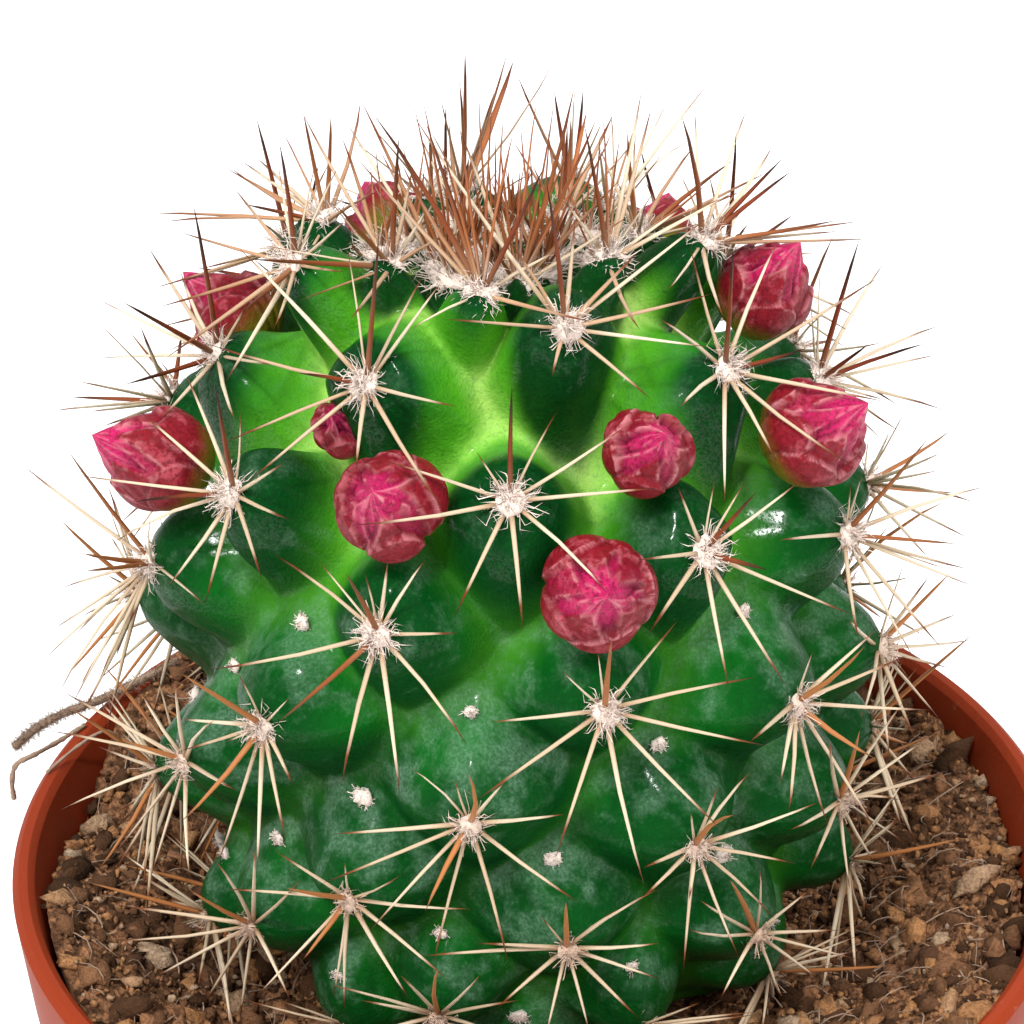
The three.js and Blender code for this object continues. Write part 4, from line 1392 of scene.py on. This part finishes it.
class CACTUS_OT_spines(bpy.types.Operator):
    """Models the radial, central and crown spines"""
    bl_idname = "cactus.spines"
    bl_label = "Spines"

    def aim(self, n, lift, clock, length):
        """A direction from tubercle n: lift out of its side plane, clock round from straight up."""
        outward, side, upward = TUBERCLES.outward[n], TUBERCLES.side[n], TUBERCLES.upward[n]
        flat = math.cos(clock) * upward + math.sin(clock) * side
        lifts = lift + np.radians(EXTRA_LIFTS)[:, None]
        ways = np.sin(lifts) * outward + np.cos(lifts) * flat
        start = TUBERCLES.tip[n]
        cost = LIFT_COST * np.arange(len(EXTRA_LIFTS))
        return ways[np.argmin(into_buds(start, start + length * ways) + cost)]

    def execute(self, context):
        settings = context.scene.cactus_spines
        random = np.random.default_rng(17)
        radials, centrals, crown = [], [], []
        for n, index in enumerate(TUBERCLES.index.tolist()):
            if index in SPINE_ENDS:
                self.add_seen(random, n, SPINE_ENDS[index], radials, centrals, crown)
            else:
                self.add_radials(random, n, index, settings.radials, radials)
                self.add_centrals(random, n, index, centrals)
            if index < CROWN_ENDS:
                self.add_crown(random, n, index, crown)
        # Each kind: rows, radius, how flat, colours of root, middle and tip, where the tip's
        # colour starts, and how much old spines fade.
        for name, rows, radius, flat, *look in (
            ("radial_spines", radials, settings.radial_width / 2 / MM, RADIAL_FLAT,
             (0.36, 0.22, 0.12), settings.cream, settings.brown, 0.7, 0.08),
            ("central_spines", centrals, settings.central_width / 2 / MM, CENTRAL_FLAT,
             (0.22, 0.1, 0.05), settings.red_brown, (0.03, 0.01, 0.006), 0.5, 0.75),
            ("crown_spines", crown, CROWN_RADIUS, CROWN_FLAT,
             (0.5, 0.38, 0.3), settings.copper, (0.12, 0.03, 0.015), 0.7, 0),
        ):
            self.plant(name, rows, radius, spine_finish(name, *look), flat)
        return {"FINISHED"}

    def add_seen(self, random, n, ends, radials, centrals, crown):
        """The spines whose ends the camera sees."""
        for end in ends.split():
            central, thin, broad = (end.endswith(kind) for kind in "ctk")
            u, v = (float(part) for part in end.strip("ctk").split(","))
            lift = CENTRAL_LIFT if central or broad else RADIAL_LIFT
            lift += math.radians(random.uniform(-5, 5)) + 0.5 * self.raised(TUBERCLES.index[n])
            reach = seen_end(n, u, v, lift)
            length = float(np.linalg.norm(reach))
            thick = 0.62 if thin else random.uniform(0.9, 1.1)
            row = (n, reach / length, length, thick, random.random())
            (crown if broad else centrals if central else radials).append(row)

    def raised(self, index):
        """How far young spines stand up round the crown."""
        return float(np.clip((-9 - index) / 18, 0, 1))

    def add_radials(self, random, n, index, count, rows):
        """The ring of radial spines: short and thin above, long and thick below."""
        raised = self.raised(index)
        count = int(round(count - FEWER_ON_CROWN * raised))
        start = random.uniform(-0.25, 0.25)
        for i in range(count):
            clock = TURN * (i + 0.5 + start + random.uniform(-0.18, 0.18)) / count
            lower = 0.5 - 0.5 * math.cos(clock)
            length = RADIAL_LENGTH + RADIAL_LONGER * lower + random.uniform(-1.2, 1.2)
            length = length * spine_share(index)
            lift = math.radians(15 + 46 * raised + random.uniform(-6, 9))
            thick = (0.72 + 0.45 * lower) * random.uniform(0.85, 1.12)
            rows.append((n, self.aim(n, lift, clock, length), length, thick, random.random()))

    def add_centrals(self, random, n, index, rows):
        """One or two darker spines that stand out from the middle."""
        count = 1 + int(random.random() < SECOND_CENTRAL)
        for clock in CENTRAL_CLOCKS[:count]:
            clock = clock + random.uniform(-0.45, 0.45)
            length = (CENTRAL_LENGTH + random.uniform(-1.6, 1.2)) * spine_share(index)
            lift = math.radians(38 + 30 * self.raised(index) + random.uniform(-8, 12))
            rows.append((n, self.aim(n, lift, clock, length), length, 1.0, random.random()))

    def add_crown(self, random, n, index, rows):
        """Broad flat young spines, bunched upright round the growing tip."""
        for _ in range(next(count for below, count in CROWN_COUNTS if index < below)):
            clock = random.uniform(0, TURN)
            length = random.uniform(*CROWN_LENGTHS) * spine_share(index)
            lift = math.radians(random.uniform(*CROWN_LIFTS))
            aim = self.aim(n, lift, clock, length)
            rows.append((n, aim, length, random.uniform(0.7, 1.2), random.random()))

    def plant(self, name, rows, width, finish, flat):
        """One object of all spines of a kind."""
        random = np.random.default_rng(len(rows))
        shape = model_needle(6, SPINE_STATIONS)
        number = np.array([row[0] for row in rows])
        aims = np.array([row[1] for row in rows])
        lengths, thick, tint = (np.array([row[i] for row in rows]) for i in (2, 3, 4))
        start = TUBERCLES.tip[number] + aims * ROOT_OUT - TUBERCLES.outward[number] * ROOT_IN
        ends = TUBERCLES.tip[number] + aims * lengths[:, None]
        bends = unit(np.cross(aims, random.normal(0, 1, aims.shape)))
        bends *= (random.normal(0, SPINE_BOW, len(rows)) * lengths)[:, None]
        piece = plant_needles(name, shape, start, ends, width * thick, bends, flat)
        mark(piece, tint=spread(tint, shape), age=spread(TUBERCLES.index[number], shape))
        finish_piece(piece, name, finish)


# ---- Wool -----------------------------------------------------------------------------------

# Radius of the cushions on the crown and below it, where the crown ends, and how much smaller
# and balder the oldest are.
CROWN_PAD = 1.6
PAD = 1.25
WOOLLY_CROWN_ENDS = -22
OLD_BETWEEN = (2, 40)
OLD_SMALLER = 0.35
OLD_BALDER = 0.55
# Axil tufts: the first tubercle with one, radii, hairs, their length, and an age that stays pale.
FIRST_TUFT = 14
TUFT_RADII = (0.5, 0.9)
TUFT_HAIRS = 60
TUFT_HAIR_LENGTH = 1.05
TUFT_AGE = -10.0
# A mound's widths and height as shares of its radius, and how lumpy it is.
MOUND = (0.92, 0.92, 0.5)
MOUND_LUMPS = 0.13
SIDE_GUIDE = (0.2, 0.3, 0.9)
HAIR_STATIONS = [(0, 1), (0.5, 0.85), (1, 0)]
HAIR_RADII = (0.03, 0.055)
HAIR_LIFTS = (-14, 88)
HAIR_STRAY = 0.35
HAIR_CURL = 0.22


class CACTUS_OT_wool(bpy.types.Operator):
    """Models the woolly spine cushions and the tufts in the old axils"""
    bl_idname = "cactus.wool"
    bl_label = "Wool"

    def execute(self, context):
        settings = context.scene.cactus_wool
        finish = wool_finish(settings.colour)
        random = np.random.default_rng(8)
        age = TUBERCLES.index
        old = smoothstep(*OLD_BETWEEN, age)
        size = np.where(age < WOOLLY_CROWN_ENDS, CROWN_PAD, PAD) * (1 - OLD_SMALLER * old)
        hairs = (settings.hairs * (1 - OLD_BALDER * old)).astype(int)
        mounds = (TUBERCLES.tip, TUBERCLES.outward, size, age, finish, random)
        self.pads("cushion_pads", *mounds)
        self.hair("cushion_hairs", hairs, settings.hair_length / MM, *mounds)
        above = np.arange(FIRST_TUFT, BOTTOM_INDEX + 1)
        size = random.uniform(*TUFT_RADII, len(above))
        age = np.full(len(above), TUFT_AGE)
        mounds = (*self.axils(above), size, age, finish, random)
        self.pads("axil_pads", *mounds)
        self.hair("axil_hairs", np.full(len(above), TUFT_HAIRS), TUFT_HAIR_LENGTH, *mounds)
        return {"FINISHED"}

    def axils(self, above):
        """The valley points over tubercles, and the way that the skin faces there."""
        index = above - AXIL_UP
        core = straight_point(index, 0)
        angle = spiral_angle(above) - row_turn(AXIL_ROW) / 2 + TUFT_ACROSS / core[0]
        share, _, _, nudge = TUBERCLES.read(polar(core[0], angle, core[1]))
        radius, height = straight_point(index, outline(index)[4] * share)
        _, _, out_r, out_z, _ = outline(index)
        return onto_axis(radius, angle, height) + nudge, polar(out_r, angle, out_z)

    def pads(self, name, tips, outward, size, age, finish, random):
        """Low lumpy mounds of matted wool."""
        fresh(bpy.ops.mesh.primitive_ico_sphere_add, subdivisions=2, radius=1)
        shape = take_shape()
        side = unit(np.cross(outward, SIDE_GUIDE))
        third = np.cross(outward, side)
        lumps = MOUND_LUMPS * random.standard_normal((len(tips), len(shape[0]), 1))
        local = shape[0][None] * (1 + lumps)
        local = local * size[:, None, None] * MOUND
        places = tips[:, None] + (
            local[..., :1] * side[:, None] + local[..., 1:2] * third[:, None]
            + local[..., 2:] * outward[:, None]
        )
        piece = copies(name, shape, places)
        tint = random.uniform(0, 0.9, len(tips) * len(shape[0]))
        mark(piece, tint=tint, age=spread(age, shape))
        finish_piece(piece, name, finish)

    def hair(self, name, counts, length, tips, outward, size, age, finish, random):
        """Curly hairs combed out from each mound."""
        shape = model_needle(3, HAIR_STATIONS)
        owner = np.repeat(np.arange(len(tips)), counts)
        total = len(owner)
        side = unit(np.cross(outward, SIDE_GUIDE))[owner]
        up = outward[owner]
        third = np.cross(up, side)
        clock = random.uniform(0, TURN, total)
        lift = np.radians(random.uniform(*HAIR_LIFTS, total))
        flat = np.cos(clock)[:, None] * side + np.sin(clock)[:, None] * third
        aim = np.cos(lift)[:, None] * flat + np.sin(lift)[:, None] * up
        big = size[owner][:, None]
        out = 0.8 * np.cos(lift)[:, None] * flat + 0.35 * np.sin(lift)[:, None] * up
        roots = tips[owner] + big * out
        stray = random.normal(0, HAIR_STRAY, (total, 3))
        run = (length * random.uniform(0.35, 1.0, total) ** 1.3)[:, None]
        ends = roots + unit(aim + stray) * run * big / 1.5
        bends = random.normal(0, HAIR_CURL, (total, 3)) * run
        widths = random.uniform(*HAIR_RADII, total)
        piece = plant_needles(name, shape, roots, ends, widths, bends)
        tint = spread(random.uniform(0, 0.8, total), shape)
        mark(piece, tint=tint, age=spread(age[owner], shape))
        finish_piece(piece, name, finish)


# ---- Buds -----------------------------------------------------------------------------------

BUD_SEGMENTS = 144
BUD_RINGS = 96
GOLDEN_TURN = math.radians(137.5)
PETAL_STEP = 0.075
# Outer, middle and inner petals: share of the length that they reach, half width in degrees,
# bulge in millimetres and how blunt their ends are.
PETAL_RINGS = ((0.62, 37, 0.42, 2.4), (0.83, 33, 0.34, 2.0), (1.06, 28, 0.2, 1.5))
PETALS_IN_RING = 5
# The crease down every other petal: depth and half width. The rolled edge: height, place and
# half width. The painted shadow beside an edge, on the petal below it: place and half width.
CREASE = (0.14, 0.3)
ROLLED_EDGE = (0.07, 0.14, 0.15)
EDGE_SHADOW = (-0.2, 0.24)
THINNEST_BUD = 0.3
# Folds wound round the tip: how high, and between which shares of the length they come in.
TIP_FOLD = 0.22
TIP_FOLDS_START = (0.6, 0.86)


def bud_half_width(share):
    """Half width at a share of the length, as a share of the largest: round base, sharp tip."""
    below = share < BUD_BELLY
    away = np.where(below, (BUD_BELLY - share) / BUD_BELLY, (share - BUD_BELLY) / (1 - BUD_BELLY))
    away = np.clip(away, 0, 1)
    return np.where(below, (1 - away**2.2) ** 0.62, (1 - away**1.55) ** 0.98)


def bell(x, middle, spread_out):
    """1 at the middle and falling smoothly to 0 on both sides."""
    return np.exp(-(((x - middle) / spread_out) ** 2))


def petal_relief(share, angle, width, petals, random):
    """How far the wound petals stand out, and their margins, painted shadows beside their edges and
    how inner they are.
    """
    relief, margin, dark, inner = (np.zeros(len(share)) for _ in range(4))
    uncovered = np.ones(len(share))
    half = np.maximum(THINNEST_BUD, width / 2 * bud_half_width(share))
    for petal in range(petals):
        rank = petal / (petals - 1)
        reaches, spread_degrees, bulge, blunt = PETAL_RINGS[min(2, petal // PETALS_IN_RING)]
        top = reaches + random.uniform(-0.06, 0.05)
        widest = 0.28 + 0.1 * random.random()
        twist = random.uniform(-0.3, 0.9)
        middle = petal * GOLDEN_TURN + random.uniform(-0.25, 0.25) + twist * share
        wave = 0.05 * np.sin(11 * share + 6 * random.random())
        away = (angle - middle + wave + math.pi) % TURN - math.pi
        narrowing = np.clip((share - widest) / (top - widest), 0, 1)
        spread_here = math.radians(spread_degrees * random.uniform(0.85, 1.2))
        reach = spread_here * np.sqrt(np.maximum(0, 1 - narrowing**blunt))
        edge = np.minimum((reach - abs(away)) * half, (top - share) * 1.6 * width)
        cover = smoothstep(-0.09, 0.13, edge) * uncovered
        crown = bulge * (1 - np.clip(abs(away) / spread_here, 0, 1) ** 2.2)
        crease = CREASE[0] * bell(away * half, 0, CREASE[1]) * (petal % 2)
        relief += cover * (PETAL_STEP * (petals - petal) + crown - crease)
        rolled = bell(edge, *ROLLED_EDGE[1:])
        relief += ROLLED_EDGE[0] * cover * rolled
        margin += cover * rolled * random.uniform(0.3, 1.0)
        uncovered = uncovered - cover
        # Painted shadow on the petal just outside a covering petal's edge.
        dark = np.maximum(dark, uncovered * bell(edge, *EDGE_SHADOW))
        dark = dark * (1 - 0.6 * cover)
        inner += cover * rank
    return relief, margin, dark, inner + uncovered


class CACTUS_OT_buds(bpy.types.Operator):
    """Models each flower bud of wound petals"""
    bl_idname = "cactus.buds"
    bl_label = "Buds"

    # The petals' mean relief, which is taken off so that a bud keeps its width.
    mean_relief = 1.22

    def execute(self, context):
        settings = context.scene.cactus_buds
        finish = bud_finish(settings)
        for number, bud in enumerate(BUDS, 1):
            self.model_bud(number, bud, finish, settings.petals)
        return {"FINISHED"}

    def model_bud(self, number, bud, finish, petals):
        """A sphere drawn out to the bud's outline, with its petals raised from it."""
        *site, width, length = bud
        middle, axis = bud_place(*site)
        piece = fresh(
            bpy.ops.mesh.primitive_uv_sphere_add, segments=BUD_SEGMENTS, ring_count=BUD_RINGS,
            radius=1,
        )
        ball = points_of(piece)
        share = 1 - np.arccos(np.clip(ball[:, 2], -1, 1)) / math.pi
        angle = np.arctan2(ball[:, 1], ball[:, 0]) + 1.7 * number
        random = np.random.default_rng(100 + number)
        relief, margin, dark, inner = petal_relief(share, angle, width, petals, random)
        half = width / 2 * bud_half_width(share)
        swirl = angle + 1.4 * share
        swirl = swirl + 0.5 * np.sin(swirl + number) + 0.25 * np.sin(3 * swirl + 2 * number)
        ridge = (1 - abs(np.sin(3.5 * swirl))) ** 2
        late = smoothstep(*TIP_FOLDS_START, share)
        raised = relief + TIP_FOLD * ridge * late - self.mean_relief
        radius = half * (1 + raised / (width / 2))
        # The folds' ridges are painted paler, a painted highlight; the rolled margins are the
        # petals' own pale edges.
        margin = margin * (1 - 0.4 * late) + 0.5 * ridge * late
        dark = dark * (1 - 0.85 * late)
        place = polar(radius, angle, (share - BUD_BELLY) * length)
        turn = np.array(Vector((0, 0, 1)).rotation_difference(Vector(axis)).to_matrix())
        move_points(piece, (place @ turn.T + middle) * MM)
        margin *= smoothstep(0.1, 0.35, share)
        mark(piece, inner=inner, margin=margin, dark=dark, share=share)
        in_edit_mode(face_outwards)
        name = f"{number:02d}"
        finish_piece(piece, f"flower_bud_{name}", finish, f"bud_{name}")


# ---- Dry bits on the rim and soil -----------------------------------------------------------

# A furry twig over the left of the rim, a curled fibre beside it and a shed spine: millimetres,
# with heights above the rim.
TWIG = (
    (-27.3, 27.8, 0.5), (-30.3, 25.7, 1.0), (-33.2, 22.4, 1.2), (-37.2, 19.1, 1.0),
    (-40.5, 17.0, 0.9), (-42.5, 15.3, 0.6), (-44.2, 13.6, -0.1),
)
FIBRE = (
    (-38.4, 16.4, 0.2), (-40.4, 13.9, 0.3), (-41.9, 11.0, 1.1), (-43.4, 9.8, 0.9),
    (-44.0, 10.3, -1.2), (-44.2, 11.6, -4.0),
)
SHED_SPINE = (
    (-40.9, 9.6, 0.2), (-38.4, 11.8, 1.3), (-36.2, 13.5, 1.6), (-35.2, 14.8, -0.7),
    (-34, 15.9, -3.2),
)
# Each dry bit: name, path, radius, steps, sides and number of hairs.
DRY_BITS = (
    ("dry_twig", TWIG, 0.33, 60, 8, 3600),
    ("curled_fibre", FIBRE, 0.22, 48, 6, 0),
    ("shed_spine", SHED_SPINE, 0.15, 32, 6, 0),
)
FUR_STATIONS = [(0, 1), (0.5, 0.8), (1, 0)]
FUR_LENGTHS = (0.1, 0.45)
FUR_RADIUS = 0.022


def smooth_path(knots, count):
    """Points at even steps of a smooth curve through knots."""
    knots = np.array(knots, float)
    table = np.column_stack([np.arange(len(knots)), knots])
    steps = np.linspace(0, len(knots) - 1, count)
    return np.column_stack([curve_through(table, column, steps) for column in (1, 2, 3)])


class CACTUS_OT_debris(bpy.types.Operator):
    """Models the dry twig, the curled fibre and the shed spine that lie over the rim"""
    bl_idname = "cactus.debris"
    bl_label = "Dry bits"

    def execute(self, context):
        finish = twig_finish()
        for bit in DRY_BITS:
            self.lay(*bit, finish)
        return {"FINISHED"}

    def lay(self, name, knots, radius, steps, sides, hairs, finish):
        """A rough round strand along a path, with short fur where hairs is not 0."""
        random = np.random.default_rng(31)
        path = smooth_path(knots, steps + 1) + (0, 0, RIM_LEVEL)
        ways = unit(np.gradient(path, axis=0))
        across = unit(np.cross(ways, (0, 0, 1)))
        over = np.cross(across, ways)
        stations = [(i / steps, 1.0) for i in range(steps)] + [(1, 0)]
        points, faces = model_needle(sides, stations)
        step = np.clip(np.round(points[:, 2] * steps).astype(int), 0, steps)
        rough = radius * (0.8 + 0.45 * random.random(steps + 1))[step][:, None]
        places = path[step] + rough * (across[step] * points[:, :1] + over[step] * points[:, 1:2])
        strand = copies(name, (points, faces), places[None])
        select_only(strand)
        in_edit_mode(face_outwards)
        finish_piece(strand, name, finish)
        if not hairs:
            return
        at = random.integers(0, steps, hairs)
        clock = random.uniform(0, TURN, hairs)[:, None]
        aim = np.cos(clock) * across[at] + np.sin(clock) * over[at]
        roots = path[at] + 0.6 * radius * aim
        tips = roots + aim * random.uniform(*FUR_LENGTHS, (hairs, 1))
        tips = tips + random.normal(0, 0.32, (hairs, 3))
        shape = model_needle(3, FUR_STATIONS)
        bends = random.normal(0, 0.12, (hairs, 3))
        fur = plant_needles(f"{name}_fur", shape, roots, tips, FUR_RADIUS, bends)
        finish_piece(fur, f"{name}_fur", finish)


# ---- Stage ----------------------------------------------------------------------------------

FLOOR_SIZE = 6
SKY_STRENGTH = 0.45
NEAREST_SEEN = 0.01
# Three soft lights and a small one that the gloss mirrors: name, place and width in metres, and
# whether glossy surfaces mirror it.
LIGHTS = (
    ("key", (-0.3, -0.32, 0.66), 0.4, False),
    ("fill", (0.4, -0.22, 0.56), 0.4, False),
    ("back", (0.1, 0.55, 0.5), 0.6, False),
    ("glint", (-0.1, -0.34, 0.62), 0.035, True),
)


class CACTUS_OT_stage(bpy.types.Operator):
    """Sets the pale floor, the lights, the white surround and the photograph's camera"""
    bl_idname = "cactus.stage"
    bl_label = "Stage"

    def execute(self, context):
        settings = context.scene.cactus_stage
        floor = fresh(bpy.ops.mesh.primitive_plane_add, size=FLOOR_SIZE)
        floor.name = "pale_floor"
        floor.data.materials.append(floor_finish(settings.floor))
        for name, place, size, mirrored in LIGHTS:
            self.light(name, place, size, getattr(settings, f"{name}_power"), mirrored)
        self.sky(context.scene)
        self.camera(context.scene)
        return {"FINISHED"}

    def light(self, name, place, size, power, mirrored):
        """A square light that points at the plant."""
        lamp = bpy.data.lights.new(name, "AREA")
        lamp.size = size
        lamp.energy = power
        holder = bpy.data.objects.new(name, lamp)
        bpy.context.collection.objects.link(holder)
        holder.location = place
        holder.visible_glossy = mirrored
        aim = Vector(CAMERA_TARGET * MM) - holder.location
        holder.rotation_euler = aim.to_track_quat("-Z", "Y").to_euler()

    def sky(self, scene):
        """An even white surround."""
        world = bpy.data.worlds.new("white_surround")
        world.use_nodes = True
        background = world.node_tree.nodes["Background"]
        background.inputs["Color"].default_value = (1, 1, 1, 1)
        background.inputs["Strength"].default_value = SKY_STRENGTH
        scene.world = world
        scene.view_settings.view_transform = "Standard"

    def camera(self, scene):
        """The photograph's camera, worked out from the rim and the plant's spiral."""
        place, right, up, forward = camera_axes()
        lens = bpy.data.cameras.new("photo_camera")
        lens.sensor_width = SENSOR
        lens.lens = FOCAL_PIXELS / PHOTO_SIZE * SENSOR
        lens.clip_start = NEAREST_SEEN
        holder = bpy.data.objects.new("photo_camera", lens)
        bpy.context.collection.objects.link(holder)
        columns = np.column_stack([right, up, -forward, place * MM])
        holder.matrix_world = Matrix([*columns.tolist(), (0, 0, 0, 1)])
        scene.camera = holder


# ---- Panel and registration -----------------------------------------------------------------

OPERATORS = (
    CACTUS_OT_pot, CACTUS_OT_soil, CACTUS_OT_stem, CACTUS_OT_spines, CACTUS_OT_wool,
    CACTUS_OT_buds, CACTUS_OT_debris, CACTUS_OT_stage,
)
SETTINGS = {
    "cactus_pot": CactusPotSettings,
    "cactus_soil": CactusSoilSettings,
    "cactus_skin": CactusSkinSettings,
    "cactus_spines": CactusSpineSettings,
    "cactus_wool": CactusWoolSettings,
    "cactus_buds": CactusBudSettings,
    "cactus_stage": CactusStageSettings,
}


class CACTUS_PT_panel(bpy.types.Panel):
    """Lists the plant's settings and the operators that model it"""
    bl_idname = "CACTUS_PT_panel"
    bl_label = "Potted cactus"
    bl_space_type = "VIEW_3D"
    bl_region_type = "UI"
    bl_category = "Cactus"

    def draw(self, context):
        for name, group in SETTINGS.items():
            box = self.layout.box()
            for setting in group.__annotations__:
                box.prop(getattr(context.scene, name), setting)
        for operator in OPERATORS:
            self.layout.operator(operator.bl_idname)


def register():
    """Registers the settings, operators and panel."""
    for name, group in SETTINGS.items():
        bpy.utils.register_class(group)
        setattr(bpy.types.Scene, name, PointerProperty(type=group))
    for kind in (*OPERATORS, CACTUS_PT_panel):
        bpy.utils.register_class(kind)


def unregister():
    """Removes the panel, operators and settings."""
    for kind in (CACTUS_PT_panel, *reversed(OPERATORS)):
        bpy.utils.unregister_class(kind)
    for name, group in SETTINGS.items():
        delattr(bpy.types.Scene, name)
        bpy.utils.unregister_class(group)


def main():
    register()
    for operator in OPERATORS:
        group, name = operator.bl_idname.split(".")
        getattr(getattr(bpy.ops, group), name)()


if __name__ == "__main__":
    main()
